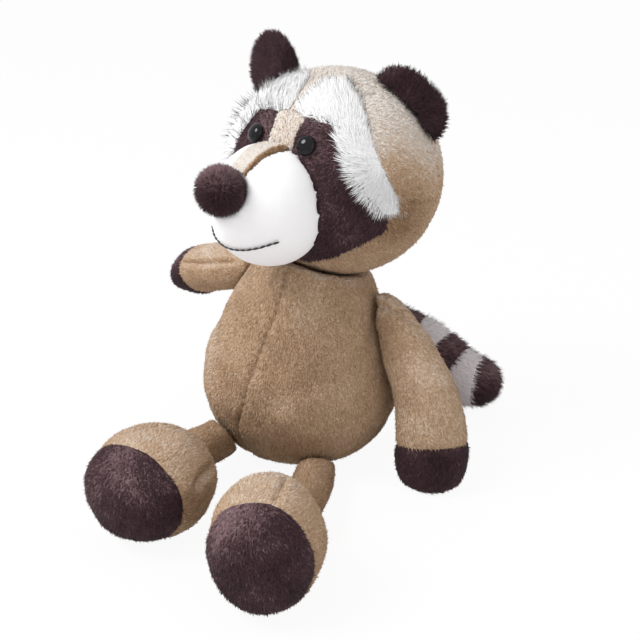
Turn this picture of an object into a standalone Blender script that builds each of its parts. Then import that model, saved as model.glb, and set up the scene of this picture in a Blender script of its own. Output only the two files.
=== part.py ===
"""A sitting plush raccoon, about 210 mm tall, in pile cloth with fibre filling.

The toy faces -Y with its left side at +X. Z is up, and the origin is the middle of the flat
seat under the torso, on the surface that the toy sits on. Lengths are in metres.
"""

import math

import bmesh
import bpy
from mathutils import Euler, Vector
from mathutils.bvhtree import BVHTree

# Clearances and cloth
GAP = 0.0003
PILE_CLOTH = 0.0025
LONG_PILE = 0.005
SHORT_CLOTH = 0.0015

# Torso: its lean to the toy's left and its half widths across and through, from the seat to the neck
SEAT_SINK = 0.005
TORSO_HEIGHT = 0.124
TORSO_SET_BACK = 0.002
TORSO_SWAY = (0.0035, 0.0040, 0.0080, 0.0115)
TORSO_GIRTH = [(0.052, 0.050), (0.0530, 0.052), (0.0550, 0.053), (0.0485, 0.048), (0.0402, 0.041),
               (0.0335, 0.035), (0.030, 0.032)]

# Head: a ball on the neck, turned and tilted a little
HEAD_RISE = 0.0240
HEAD_PLACE = (0.0165, 0.0150, TORSO_HEIGHT + HEAD_RISE)
HEAD_TURN = -8.5
HEAD_NOD = -5.8
HEAD_TILT = 1.0
HEAD_HALF_WIDTH = 0.0545
HEAD_HALF_DEPTH = 0.0475
HEAD_HALF_HEIGHT = 0.0505

# Muzzle, nose and mouth, in the head's own axes
MUZZLE_LENGTH = 0.079
MUZZLE_ROOT = 0.019
MUZZLE_DROP = 0.012
MUZZLE_TIP_DROP = 0.0065
MUZZLE_GIRTH = [(0.025, 0.029), (0.027, 0.0297), (0.0245, 0.0272), (0.017, 0.0202)]
NOSE_RADIUS = 0.0114
NOSE_RISE = 0.0012
MOUTH_WIDTH = 0.040
MOUTH_HEIGHT = -0.0262
MOUTH_RISE = 0.006
THREAD_RADIUS = 0.0005
BRIDGE_WIDTHS = (0.0180, 0.0090)

# Face patches as seen from the front: x outwards from the middle, z up
MASK_TOP = [(0.009, 0.0330), (0.0230, 0.0314), (0.0310, 0.0215), (0.0395, 0.0065), (0.0475, -0.008)]
MASK_CHEEK = [(0.0465, -0.0155), (0.039, -0.0230), (0.025, -0.0325), (0.010, -0.0388), (0.003, -0.0385),
              (0.004, -0.010), (0.007, 0.014), (0.007, 0.026)]
BROW_OUTER = [(0.0505, -0.008), (0.0492, 0.002), (0.0447, 0.013), (0.0372, 0.0255), (0.0300, 0.0345),
              (0.0225, 0.0410), (0.014, 0.0450), (0.005, 0.0455), (0.003, 0.040), (0.0015, 0.035)]

# Eyes: a domed cap on a shank, held by a washer behind the cloth
EYE_SPREAD = 0.0152
EYE_HEIGHT = 0.0195
EYE_RADIUS = 0.0046
EYE_DOME = 0.0032
EYE_RIM = 0.0008
SHANK_RADIUS = 0.0014
SHANK_LENGTH = 0.0085
WASHER_RADIUS = 0.0055
WASHER_THICKNESS = 0.0012

# Ears, in the head's own axes
EAR_LEFT_PLACE = (0.0290, 0.0034, 0.0283)
EAR_RIGHT_PLACE = (-0.035, -0.004, 0.033)
EAR_LEAN = (0.60, 0.05, 0.80)
EAR_EDGE = (0.76, 0.28, -0.58)
EAR_ROOT = 0.006
EAR_LEFT_HEIGHT = 0.0265
EAR_RIGHT_HEIGHT = 0.0300
EAR_GIRTH = [(0.0187, 0.0055), (0.0200, 0.0055), (0.0200, 0.005), (0.0171, 0.004)]

# Arms: points down the middle from shoulder to fingertips, and half widths
LEFT_DROPS = (0.032, 0.052, 0.081)
RIGHT_DROPS = (0.030, 0.039, 0.049, 0.060)
ARM_LEFT = [(0.042, 0.010, TORSO_HEIGHT - LEFT_DROPS[0]), (0.0570, 0.0085, TORSO_HEIGHT - LEFT_DROPS[1]),
            (0.0775, 0.0025, TORSO_HEIGHT - LEFT_DROPS[2]), (0.0868, -0.0072, -0.003)]
ARM_RIGHT = [(-0.022, 0.002, TORSO_HEIGHT - RIGHT_DROPS[0]), (-0.051, 0.011, TORSO_HEIGHT - RIGHT_DROPS[1]),
             (-0.074, 0.023, TORSO_HEIGHT - RIGHT_DROPS[2]), (-0.0905, 0.0315, TORSO_HEIGHT - RIGHT_DROPS[3])]
ARM_LEFT_EDGE = (0.85, 0.50, 0.0)
ARM_RIGHT_EDGE = (0.50, 0.85, 0.0)
ARM_LEFT_GIRTH = [(0.011, 0.011), (0.0132, 0.0130), (0.0173, 0.0145), (0.0288, 0.0165)]
ARM_RIGHT_GIRTH = [(0.013, 0.012), (0.0148, 0.0133), (0.0190, 0.0145), (0.0250, 0.0160)]
HAND_LEFT_LENGTH = 0.0205
HAND_RIGHT_LENGTH = 0.030

# Legs and feet: points down the middle, from hip to ankle and from heel to toe
LEFT_TOES = -0.142
LEFT_FOOT_LENGTH = 0.052
RIGHT_TOES = -0.133
RIGHT_FOOT_LENGTH = 0.061
ANKLE_INSET = 0.014
LEFT_HEEL = LEFT_TOES + LEFT_FOOT_LENGTH
RIGHT_HEEL = RIGHT_TOES + RIGHT_FOOT_LENGTH
LEG_LEFT = [(0.030, -0.022, 0.0090), (0.045, -0.058, 0.0115), (0.058, LEFT_HEEL - ANKLE_INSET, 0.026)]
LEG_RIGHT = [(-0.014, -0.028, 0.017), (-0.015, -0.058, 0.020), (-0.012, RIGHT_HEEL - ANKLE_INSET, 0.026)]
LEG_LEFT_GIRTH = [(0.0115, 0.0085), (0.0115, 0.0105), (0.012, 0.012)]
LEG_RIGHT_GIRTH = [(0.0120, 0.0120), (0.0115, 0.0115), (0.012, 0.012)]
FOOT_LEFT = [(0.054, LEFT_HEEL, 0.029), (0.072, LEFT_TOES, 0.029)]
FOOT_RIGHT = [(-0.011, RIGHT_HEEL, 0.025), (-0.011, RIGHT_TOES, 0.026)]
FOOT_LEFT_GIRTH = [(0.0245, 0.029), (0.0255, 0.030), (0.0245, 0.029)]
FOOT_RIGHT_GIRTH = [(0.029, 0.0255), (0.030, 0.0262), (0.029, 0.0255)]
SOLE_SHARE = 0.33

# Tail: points down the middle from the seat seam, curving round to the toy's left
TAIL = [(-0.004, 0.046, 0.040), (0.014, 0.069, 0.0415), (0.0360, 0.0770, 0.0325), (0.0595, 0.0775, 0.0205),
        (0.0835, 0.0830, 0.0175)]
TAIL_GIRTH = [(0.012, 0.012), (0.0158, 0.0158), (0.0175, 0.0175), (0.0174, 0.0174)]
TAIL_RINGS = 7

TAUPE = (0.36, 0.29, 0.20)
DARK = (0.045, 0.028, 0.028)
WHITE = (0.86, 0.86, 0.88)
LILAC = (0.62, 0.58, 0.62)


def start_clean():
    for item in list(bpy.context.scene.objects):
        bpy.data.objects.remove(item, do_unlink=True)


def new_collection(name):
    made = bpy.data.collections.new(name)
    bpy.context.scene.collection.children.link(made)
    return made


def material(name, colour, roughness, metallic=0.0):
    made = bpy.data.materials.new(name)
    made.use_nodes = True
    shader = made.node_tree.nodes["Principled BSDF"]
    shader.inputs["Base Color"].default_value = (*colour, 1.0)
    shader.inputs["Roughness"].default_value = roughness
    shader.inputs["Metallic"].default_value = metallic
    return made


def smooth_value(stations, share):
    """The value at a share of the way along evenly spaced stations, on a smooth curve through them."""
    spans = len(stations) - 1
    place = min(max(share, 0.0), 1.0) * spans
    span = min(int(place), spans - 1)
    t = place - span
    b, c = Vector(stations[span]), Vector(stations[span + 1])
    a = Vector(stations[span - 1]) if span > 0 else 2 * b - c
    d = Vector(stations[span + 2]) if span + 2 <= spans else 2 * c - b
    return 0.5 * (2 * b + (c - a) * t + (2 * a - 5 * b + 4 * c - d) * t**2 + (3 * b - a - 3 * c + d) * t**3)


def heading(spine, share):
    step = 0.01
    return (smooth_value(spine, share + step) - smooth_value(spine, share - step)).normalized()


def stuffed(spine, girth, blunt=2.0, edge=(1, 0, 0), grow=0.0, floor=None, around=20, along=12):
    """A filled cloth form: a ball whose rings are drawn out along a spine.

    girth gives half widths along the edge direction and across it. Ends with a blunt of 2 are
    elliptic, and fuller with more. grow lets the whole form out by that much. floor flattens what
    would lie below it.
    """
    mesh = bmesh.new()
    bmesh.ops.create_uvsphere(mesh, u_segments=around, v_segments=along, radius=1.0)
    for vertex in mesh.verts:
        end = min(max(vertex.co.z, -1.0), 1.0)
        ring = math.sqrt(1.0 - end * end)
        share = (1.0 + end) / 2
        forward = heading(spine, share)
        first = Vector(edge)
        first = (first - first.dot(forward) * forward).normalized()
        second = forward.cross(first)
        widths = smooth_value(girth, share)
        fullness = (1.0 - abs(end)**blunt) ** (1.0 / blunt)
        out = Vector((vertex.co.x, vertex.co.y)) / ring if ring > 1e-6 else Vector((0, 0))
        place = smooth_value(spine, share) + forward * end * grow
        place += first * out.x * (widths.x * fullness + grow * ring)
        place += second * out.y * (widths.y * fullness + grow * ring)
        if floor is not None:
            place.z = max(place.z, floor)
        vertex.co = place
    return mesh


def keep_side(mesh, place, direction):
    """Cuts a closed mesh with a plane, keeps what lies ahead of it, and closes the cut."""
    cut = bmesh.ops.bisect_plane(mesh, geom=mesh.verts[:] + mesh.edges[:] + mesh.faces[:],
                                 plane_co=place, plane_no=direction, clear_inner=True)
    rim = [item for item in cut["geom_cut"] if isinstance(item, bmesh.types.BMEdge)]
    bmesh.ops.edgeloop_fill(mesh, edges=rim)
    bmesh.ops.recalc_face_normals(mesh, faces=mesh.faces[:])
    return mesh


def place_object(name, mesh, finish, parent=None):
    data = bpy.data.meshes.new(name)
    mesh.to_mesh(data)
    mesh.free()
    data.shade_smooth()
    item = bpy.data.objects.new(name, data)
    item.parent = parent
    if finish is None:
        item.hide_render = True
        item.display_type = "WIRE"
        CUTTERS.objects.link(item)
    else:
        data.materials.append(finish)
        TOY.objects.link(item)
    return item


def combine(item, other, operation="DIFFERENCE"):
    boolean = item.modifiers.new(operation.lower() + "_" + other.name, "BOOLEAN")
    boolean.operation = operation
    boolean.object = other


def outset(outline, distance):
    """The outline with each corner moved out along the mean of its two edges' normals."""
    moved = []
    for index, corner in enumerate(outline):
        corner = Vector(corner)
        before = (corner - Vector(outline[index - 1])).normalized()
        after = (Vector(outline[(index + 1) % len(outline)]) - corner).normalized()
        normal = Vector((before.y + after.y, -before.x - after.x)).normalized()
        share = max(normal.dot(Vector((before.y, -before.x))), 0.5)
        moved.append(corner + normal * distance / share)
    return moved


def prism(outline, lift, near, far):
    """A closed slab between two levels. lift turns an outline's corner and a level into a place."""
    mesh = bmesh.new()
    base = mesh.faces.new([mesh.verts.new(lift(corner, near)) for corner in outline])
    extruded = bmesh.ops.extrude_face_region(mesh, geom=[base])
    tops = [item for item in extruded["geom"] if isinstance(item, bmesh.types.BMVert)]
    bmesh.ops.translate(mesh, verts=tops, vec=lift((0, 0), far) - lift((0, 0), near))
    bmesh.ops.recalc_face_normals(mesh, faces=mesh.faces[:])
    return mesh


def clockwise(outline):
    """The outline's corners in the order that puts outset's positive side outside."""
    area = sum(Vector(outline[i - 1]).cross(Vector(outline[i])) for i in range(len(outline)))
    return outline if area > 0 else outline[::-1]


def head_ball(grow=0.0):
    half_widths = [(HEAD_HALF_WIDTH, HEAD_HALF_DEPTH)] * 3
    return stuffed([(0, 0, -HEAD_HALF_HEIGHT), (0, 0, HEAD_HALF_HEIGHT)], half_widths,
                   blunt=2.0, grow=grow, around=32, along=20)


def torso_form(grow=0.0):
    rise = (TORSO_HEIGHT + SEAT_SINK) / (len(TORSO_SWAY) - 1)
    spine = [(sway, TORSO_SET_BACK, rise * step - SEAT_SINK) for step, sway in enumerate(TORSO_SWAY)]
    floor = 0.0 if grow == 0 else None
    return stuffed(spine, TORSO_GIRTH, blunt=3.0, grow=grow, floor=floor, around=28, along=18)


def muzzle_form(grow=0.0):
    spine = [(0, -MUZZLE_ROOT, -MUZZLE_DROP), (0, -MUZZLE_LENGTH, -MUZZLE_TIP_DROP)]
    return stuffed(spine, MUZZLE_GIRTH, blunt=2.3, grow=grow, around=24, along=14)


def nose_centre():
    return Vector((0, -MUZZLE_LENGTH, NOSE_RISE))


def nose_form(grow=0.0):
    mesh = bmesh.new()
    bmesh.ops.create_uvsphere(mesh, u_segments=18, v_segments=12, radius=NOSE_RADIUS + grow)
    bmesh.ops.translate(mesh, verts=mesh.verts[:], vec=nose_centre())
    return mesh


def front_patch(side, outline, grow, depth):
    """A slab through the front of the head with the outline of a face patch."""
    shape = outset(clockwise([(side * x, z) for x, z in outline]), grow)

    def lift(corner, level):
        return Vector((corner[0], level, corner[1]))

    return prism(shape, lift, -2 * HEAD_HALF_DEPTH, depth)


def top_strip(grow):
    """A slab down through the muzzle's back with the outline of the bridge strip."""
    root, tip = (width / 2 for width in BRIDGE_WIDTHS)
    shape = clockwise([(root, -MUZZLE_ROOT), (root, -HEAD_HALF_DEPTH), (tip, -MUZZLE_LENGTH),
                       (-tip, -MUZZLE_LENGTH), (-root, -HEAD_HALF_DEPTH), (-root, -MUZZLE_ROOT)])

    def lift(corner, level):
        return Vector((corner[0], corner[1], level))

    return prism(outset(shape, grow), lift, -MUZZLE_TIP_DROP, HEAD_HALF_HEIGHT)


def inlay(name, slab, slot, carrier_form, carrier, cloth, finish, proud=0.0):
    """A cloth patch let into a form: it follows the form's skin, lies in a recess and may stand proud."""
    patch = place_object(name, slab, finish, HEAD)
    skin = place_object(name + "_skin", carrier_form(proud), None, HEAD)
    under = place_object(name + "_under", carrier_form(-cloth), None, HEAD)
    combine(patch, skin, "INTERSECT")
    combine(patch, under)
    recess = place_object(name + "_recess", slot, None, HEAD)
    floor = place_object(name + "_recess_floor", carrier_form(-cloth - GAP), None, HEAD)
    combine(recess, floor)
    combine(carrier, recess)
    return patch


def eye_point(side):
    """Where the eye's shank meets the head's skin, and the way it faces."""
    x, z = side * EYE_SPREAD, EYE_HEIGHT
    y = -HEAD_HALF_DEPTH * math.sqrt(1 - (x / HEAD_HALF_WIDTH) ** 2 - (z / HEAD_HALF_HEIGHT) ** 2)
    facing = Vector((x / HEAD_HALF_WIDTH**2, y / HEAD_HALF_DEPTH**2, z / HEAD_HALF_HEIGHT**2))
    return Vector((x, y, z)), facing.normalized()


def turned(name, profile, place, facing, finish, steps=20):
    """A profile of radius and height spun about its own axis, then set facing a direction."""
    data = bpy.data.meshes.new(name)
    points = [(radius, 0, height) for radius, height in profile]
    data.from_pydata(points, [(i, i + 1) for i in range(len(points) - 1)], [])
    item = bpy.data.objects.new(name, data)
    data.materials.append(finish)
    TOY.objects.link(item)
    item.parent = HEAD
    item.location = place
    item.rotation_euler = facing.to_track_quat("Z", "Y").to_euler()
    screw = item.modifiers.new("turn", "SCREW")
    screw.steps = steps
    screw.render_steps = steps
    screw.use_merge_vertices = True
    screw.merge_threshold = 0.00001
    return item


def peg(name, radius, top, bottom, place, facing):
    """A round cutter along an eye's axis."""
    mesh = bmesh.new()
    bmesh.ops.create_cone(mesh, cap_ends=True, segments=20, radius1=radius, radius2=radius,
                          depth=top - bottom)
    bmesh.ops.translate(mesh, verts=mesh.verts[:], vec=(0, 0, (top + bottom) / 2))
    bmesh.ops.rotate(mesh, verts=mesh.verts[:], matrix=facing.to_track_quat("Z", "Y").to_matrix())
    bmesh.ops.translate(mesh, verts=mesh.verts[:], vec=place)
    return place_object(name, mesh, None, HEAD)


def make_head():
    head = place_object("head", head_ball(), CLOTH_TAUPE, HEAD)
    for side, hand in ((1, "left"), (-1, "right")):
        mask_outline = MASK_TOP + MASK_CHEEK
        brow_outline = MASK_TOP[::-1] + BROW_OUTER[::-1]
        mask = inlay("mask_patch_" + hand, front_patch(side, mask_outline, -GAP / 2, 0),
                     front_patch(side, mask_outline, GAP / 2, 0), head_ball, head, PILE_CLOTH, CLOTH_DARK)
        inlay("brow_patch_" + hand, front_patch(side, brow_outline, -GAP / 2, 0),
              front_patch(side, brow_outline, GAP / 2, 0), head_ball, head, PILE_CLOTH, CLOTH_WHITE,
              LONG_PILE)
        make_eye(side, hand, head, mask)
    return head


def make_eye(side, hand, head, mask):
    place, facing = eye_point(side)
    seat = GAP
    rim = seat + EYE_RIM
    profile = [(0, seat + EYE_DOME)]
    for degrees in (70, 50, 30, 12):
        angle = math.radians(degrees)
        profile.append((EYE_RADIUS * math.cos(angle), rim + (EYE_DOME - EYE_RIM) * math.sin(angle)))
    profile += [(EYE_RADIUS, rim), (EYE_RADIUS - EYE_RIM / 2, seat), (SHANK_RADIUS, seat),
                (SHANK_RADIUS, seat - SHANK_LENGTH), (0, seat - SHANK_LENGTH)]
    turned("eye_" + hand, profile, place, facing, GLOSS_BLACK)

    hollow = WASHER_RADIUS**2 / (2 * HEAD_HALF_DEPTH)
    top = -PILE_CLOTH - hollow - 2 * GAP
    bottom = top - WASHER_THICKNESS
    bore = SHANK_RADIUS + GAP
    turned("eye_washer_" + hand, [(bore, top), (WASHER_RADIUS, top), (WASHER_RADIUS, bottom),
                                  (bore, bottom), (bore, top)], place, facing, CLEAR_PLASTIC)
    hole = peg("shank_hole_" + hand, bore, EYE_DOME, seat - SHANK_LENGTH - GAP, place, facing)
    pocket = peg("washer_pocket_" + hand, WASHER_RADIUS + GAP, EYE_DOME, bottom - GAP, place, facing)
    combine(mask, hole)
    combine(head, hole)
    combine(head, pocket)


def make_muzzle():
    muzzle = place_object("muzzle", muzzle_form(), VELOUR_WHITE, HEAD)
    strip = inlay("bridge_strip", top_strip(-GAP / 2), top_strip(GAP / 2), muzzle_form, muzzle,
                  SHORT_CLOTH, CLOTH_TAUPE)
    ball = place_object("head_room", head_ball(GAP), None, HEAD)
    nose_room = place_object("nose_room", nose_form(GAP), None, HEAD)
    for item in (muzzle, strip):
        combine(item, ball)
        combine(item, nose_room)
    place_object("nose_ball", nose_form(), CLOTH_DARK, HEAD)
    make_mouth()
    return ball


def make_mouth():
    """A thread along the muzzle's skin, sagging between its two corners."""
    skin = muzzle_form(THREAD_RADIUS + GAP)
    bmesh.ops.triangulate(skin, faces=skin.faces[:])
    tree = BVHTree.FromBMesh(skin)
    skin.free()
    stations = 13
    data = bpy.data.curves.new("mouth_stitch", "CURVE")
    data.dimensions = "3D"
    data.bevel_depth = THREAD_RADIUS
    data.bevel_resolution = 2
    data.use_fill_caps = True
    spline = data.splines.new("POLY")
    spline.points.add(stations - 1)
    for index, point in enumerate(spline.points):
        across = 2 * index / (stations - 1) - 1
        start = Vector((across * MOUTH_WIDTH / 2, -2 * MUZZLE_LENGTH, MOUTH_HEIGHT + MOUTH_RISE * across**2))
        found = tree.ray_cast(start, Vector((0, 1, 0)))[0]
        point.co = (*found, 1.0)
    item = bpy.data.objects.new("mouth_stitch", data)
    data.materials.append(THREAD_BLACK)
    TOY.objects.link(item)
    item.parent = HEAD


def make_ear(side, hand, ball):
    lean = Vector((EAR_LEAN[0] * side, *EAR_LEAN[1:])).normalized()
    edge = Vector((EAR_EDGE[0] * side, *EAR_EDGE[1:]))
    base = Vector(EAR_LEFT_PLACE if hand == "left" else EAR_RIGHT_PLACE)
    height = EAR_LEFT_HEIGHT if hand == "left" else EAR_RIGHT_HEIGHT
    spine = [base - lean * EAR_ROOT, base + lean * height]
    ear = place_object("ear_" + hand, stuffed(spine, EAR_GIRTH, blunt=2.6, edge=edge), CLOTH_DARK, HEAD)
    combine(ear, ball)


def arm_form(hand, grow=0.0):
    spine, edge = (ARM_LEFT, ARM_LEFT_EDGE) if hand == "left" else (ARM_RIGHT, ARM_RIGHT_EDGE)
    floor = 0.0 if grow == 0 else None
    girth = ARM_LEFT_GIRTH if hand == "left" else ARM_RIGHT_GIRTH
    return stuffed(spine, girth, blunt=2.6, edge=edge, grow=grow, floor=floor, along=16)


def spine_length(spine, steps=40):
    places = [smooth_value(spine, step / steps) for step in range(steps + 1)]
    return sum((b - a).length for a, b in zip(places, places[1:]))


def make_arm(hand, torso_room, ball):
    spine = ARM_LEFT if hand == "left" else ARM_RIGHT
    length = HAND_LEFT_LENGTH if hand == "left" else HAND_RIGHT_LENGTH
    share = 1 - length / spine_length(spine)
    seam, forward = smooth_value(spine, share), heading(spine, share)
    sleeve = keep_side(arm_form(hand), seam - forward * GAP / 2, -forward)
    cap = keep_side(arm_form(hand), seam + forward * GAP / 2, forward)
    arm = place_object("arm_" + hand, sleeve, CLOTH_TAUPE)
    place_object("hand_" + hand, cap, CLOTH_DARK)
    combine(arm, torso_room)
    combine(arm, ball)


def foot_form(hand, grow=0.0):
    spine = FOOT_LEFT if hand == "left" else FOOT_RIGHT
    girth = FOOT_LEFT_GIRTH if hand == "left" else FOOT_RIGHT_GIRTH
    floor = 0.0 if grow == 0 else None
    return stuffed(spine, girth, blunt=2.2, grow=grow, floor=floor, around=24, along=14)


def make_leg(hand, torso_room):
    spine = FOOT_LEFT if hand == "left" else FOOT_RIGHT
    seam, forward = smooth_value(spine, 1 - SOLE_SHARE), heading(spine, 1 - SOLE_SHARE)
    place_object("foot_" + hand, keep_side(foot_form(hand), seam - forward * GAP / 2, -forward), CLOTH_TAUPE)
    place_object("sole_" + hand, keep_side(foot_form(hand), seam + forward * GAP / 2, forward), CLOTH_DARK)
    course = LEG_LEFT if hand == "left" else LEG_RIGHT
    girth = LEG_LEFT_GIRTH if hand == "left" else LEG_RIGHT_GIRTH
    shank = stuffed(course, girth, blunt=4.0, floor=0.0, around=16)
    leg = place_object("leg_" + hand, shank, CLOTH_TAUPE)
    combine(leg, torso_room)
    combine(leg, place_object("foot_room_" + hand, foot_form(hand, GAP), None))


def make_tail(torso_room):
    for ring in range(TAIL_RINGS):
        mesh = stuffed(TAIL, TAIL_GIRTH, blunt=3.0, edge=(0, 0, 1), floor=0.0, around=16, along=20)
        if ring > 0:
            share = ring / TAIL_RINGS
            forward = heading(TAIL, share)
            keep_side(mesh, smooth_value(TAIL, share) + forward * GAP / 2, forward)
        if ring < TAIL_RINGS - 1:
            share = (ring + 1) / TAIL_RINGS
            forward = heading(TAIL, share)
            keep_side(mesh, smooth_value(TAIL, share) - forward * GAP / 2, -forward)
        finish = CLOTH_DARK if ring % 2 == 0 else CLOTH_LILAC
        piece = place_object(f"tail_ring_{ring + 1}", mesh, finish)
        if ring < 2:
            combine(piece, torso_room)


def make_toy():
    torso = place_object("torso", torso_form(), CLOTH_TAUPE)
    torso_room = place_object("torso_room", torso_form(GAP), None)
    make_head()
    ball = make_muzzle()
    combine(torso, ball)
    combine(torso, place_object("muzzle_room", muzzle_form(GAP), None, HEAD))
    for side, hand in ((1, "left"), (-1, "right")):
        make_ear(side, hand, ball)
        make_arm(hand, torso_room, ball)
        make_leg(hand, torso_room)
    make_tail(torso_room)


start_clean()
TOY = new_collection("plush_raccoon")
CUTTERS = new_collection("cutters")
CLOTH_TAUPE = material("taupe_pile_cloth", TAUPE, 0.9)
CLOTH_DARK = material("dark_pile_cloth", DARK, 0.9)
CLOTH_WHITE = material("white_long_pile", WHITE, 0.9)
CLOTH_LILAC = material("pale_tail_pile", LILAC, 0.9)
VELOUR_WHITE = material("white_velour", WHITE, 0.85)
GLOSS_BLACK = material("black_eye_plastic", (0.01, 0.01, 0.012), 0.08)
CLEAR_PLASTIC = material("washer_plastic", (0.7, 0.7, 0.7), 0.4)
THREAD_BLACK = material("mouth_thread", (0.015, 0.015, 0.015), 0.6)
HEAD = bpy.data.objects.new("head_pose", None)
HEAD.location = HEAD_PLACE
HEAD.rotation_mode = "YXZ"
HEAD.rotation_euler = Euler((math.radians(HEAD_NOD), math.radians(HEAD_TILT), math.radians(HEAD_TURN)), "YXZ")
TOY.objects.link(HEAD)
make_toy()
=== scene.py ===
"""Dresses the packed plush raccoon in pile cloth and sets it on a pale studio floor.

Every stuffed form takes its roundness from its CAD solid, which is remeshed and smoothed. The torso, the
arms and the feet are eased by a faint cloth simulation, which moves the torso and the feet by hundredths
of a millimetre at most, and the face is laid over the head's ball. Seams and dents are made by moving
points, and then the pile grows. Lengths are in metres.
"""

import math

import bmesh
import bpy
from bpy.props import FloatProperty, FloatVectorProperty, IntProperty, PointerProperty
from mathutils import Euler, Matrix, Vector, noise
from mathutils.bvhtree import BVHTree
from mathutils.kdtree import KDTree


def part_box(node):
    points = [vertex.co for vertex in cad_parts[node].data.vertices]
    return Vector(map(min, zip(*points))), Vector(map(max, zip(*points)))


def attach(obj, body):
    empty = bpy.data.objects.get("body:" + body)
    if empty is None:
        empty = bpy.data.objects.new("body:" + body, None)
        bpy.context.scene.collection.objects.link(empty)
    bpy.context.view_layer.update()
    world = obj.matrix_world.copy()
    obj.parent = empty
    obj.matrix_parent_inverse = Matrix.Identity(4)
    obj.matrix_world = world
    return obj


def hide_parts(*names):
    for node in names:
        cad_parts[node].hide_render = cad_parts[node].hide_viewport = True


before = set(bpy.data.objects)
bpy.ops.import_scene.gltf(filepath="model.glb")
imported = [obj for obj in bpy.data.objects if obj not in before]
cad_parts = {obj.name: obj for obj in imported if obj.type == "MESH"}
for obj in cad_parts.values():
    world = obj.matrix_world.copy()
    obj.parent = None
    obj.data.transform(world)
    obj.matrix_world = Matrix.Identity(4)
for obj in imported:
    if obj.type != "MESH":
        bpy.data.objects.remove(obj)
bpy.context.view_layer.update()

bl_info = {
    "name": "Plush Raccoon",
    "version": (1, 0, 0),
    "blender": (4, 5, 0),
    "location": "View3D > Sidebar > Plush",
    "description": "Sews, stuffs and brushes a sitting plush raccoon",
    "category": "Object",
}

BODY = "root"

# The head's own axes: its centre, its turn and its half sizes across, through and up
HEAD_CENTRE = Vector((0.0165, 0.0150, 0.1480))
HEAD_HALVES = Vector((0.0545, 0.0475, 0.0505))
HEAD_TURN, HEAD_NOD, HEAD_TILT = -8.5, -5.8, 1.0
HEAD_POSE = Matrix.Translation(HEAD_CENTRE) @ Euler(
    tuple(math.radians(angle) for angle in (HEAD_NOD, HEAD_TILT, HEAD_TURN)), "YXZ").to_matrix().to_4x4()
HEAD_AXES = HEAD_POSE.inverted()


def length(name, default, description):
    return FloatProperty(name=name, description=description, default=default, unit="LENGTH", precision=5)


def share(name, default, description):
    return FloatProperty(name=name, description=description, default=default, min=0.0, max=1.0)


def amount(name, default, description, unit="NONE"):
    return FloatProperty(name=name, description=description, default=default, min=0.0, unit=unit)


def colour(name, default, description):
    return FloatVectorProperty(name=name, description=description, default=default, subtype="COLOR",
                               size=3, min=0.0, max=1.0)


def settings_group(name, description, fields):
    return type(name, (bpy.types.PropertyGroup,), {"__annotations__": fields, "__doc__": description})


def pile_settings(name, label, **defaults):
    """A group of settings for one kind of pile, with that kind's own defaults."""
    fields = {
        "length": length("Length", defaults["length"], f"Length of one strand of the {label}"),
        "width": length("Width", defaults["width"], f"Width of one strand of the {label} at its root"),
        "density": amount("Strands per mm²", defaults["density"], f"How thickly the {label} grows"),
        "lean": share("Lean", defaults["lean"], f"How far the {label} is brushed over"),
        "scatter": share("Scatter", defaults["scatter"], f"How unevenly the {label} stands"),
        "clump": share("Clump", defaults["clump"], f"How far the {label} gathers in tufts"),
        "clump_size": length("Tuft size", defaults["clump_size"], f"Distance between tufts of the {label}"),
        "fleck": amount("Fleck", defaults["fleck"], f"How much the {label}'s tone changes from tuft to tuft"),
        "streaks": amount("Streaks", defaults["streaks"], f"How much the {label}'s tone changes in marks"),
    }
    return settings_group(name, f"Sizes of the {label}.", fields)


ShortPile = pile_settings("ShortPile", "short pile", length=0.0017, width=0.00070, density=1.12, lean=0.74,
                          scatter=0.34, clump=0.30, clump_size=0.0012, fleck=0.85, streaks=0.35)
DarkPile = pile_settings("DarkPile", "dark pile", length=0.0019, width=0.00066, density=1.4, lean=0.66,
                         scatter=0.34, clump=0.36, clump_size=0.0015, fleck=1.1, streaks=0.9)
BrowPile = pile_settings("BrowPile", "long brow pile", length=0.0095, width=0.00046, density=3.0, lean=0.66,
                         scatter=0.15, clump=0.42, clump_size=0.0030, fleck=0.6, streaks=0.3)
TailPile = pile_settings("TailPile", "tail pile", length=0.0046, width=0.00060, density=1.15, lean=0.60,
                         scatter=0.30, clump=0.45, clump_size=0.0030, fleck=0.9, streaks=0.7)
NosePile = pile_settings("NosePile", "nose pile", length=0.0026, width=0.00055, density=3.2, lean=0.10,
                         scatter=0.36, clump=0.3, clump_size=0.0018, fleck=0.9, streaks=0.6)
EarPile = pile_settings("EarPile", "ear pile", length=0.0030, width=0.00058, density=2.0, lean=0.58,
                        scatter=0.34, clump=0.45, clump_size=0.0022, fleck=0.9, streaks=0.9)


class PlushSizes(bpy.types.PropertyGroup):
    """Sizes of the stuffing, the seams and the small fittings."""

    voxel: length("Panel mesh", 0.0046, "Edge length of the remeshed panels before the cloth simulation")
    fine_voxel: length("Fine panel mesh", 0.0016, "Edge length of the remeshed face panels, ears and rings")
    pressure: amount("Stuffing pressure", 2.0, "Pressure inside each form in the cloth simulation")
    swell_limit: length("Most swelling", 0.0018, "Furthest that the cloth simulation may move a point")
    seam_depth: length("Seam depth", 0.0018, "How deep a sewn seam pulls the cloth in")
    seam_width: length("Seam width", 0.0020, "Half width of the valley along a seam")
    seam_gap: length("Bare seam", 0.00055, "Distance on each side of a seam where no pile grows")
    pucker: length("Pucker", 0.00030, "Height of the small gathers beside a seam")
    pucker_pitch: length("Pucker pitch", 0.0042, "Distance between gathers along a seam")
    thread: length("Thread", 0.00050, "Radius of the mouth's thread")
    stitch: length("Stitch", 0.0030, "Length of one mouth stitch")


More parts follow.
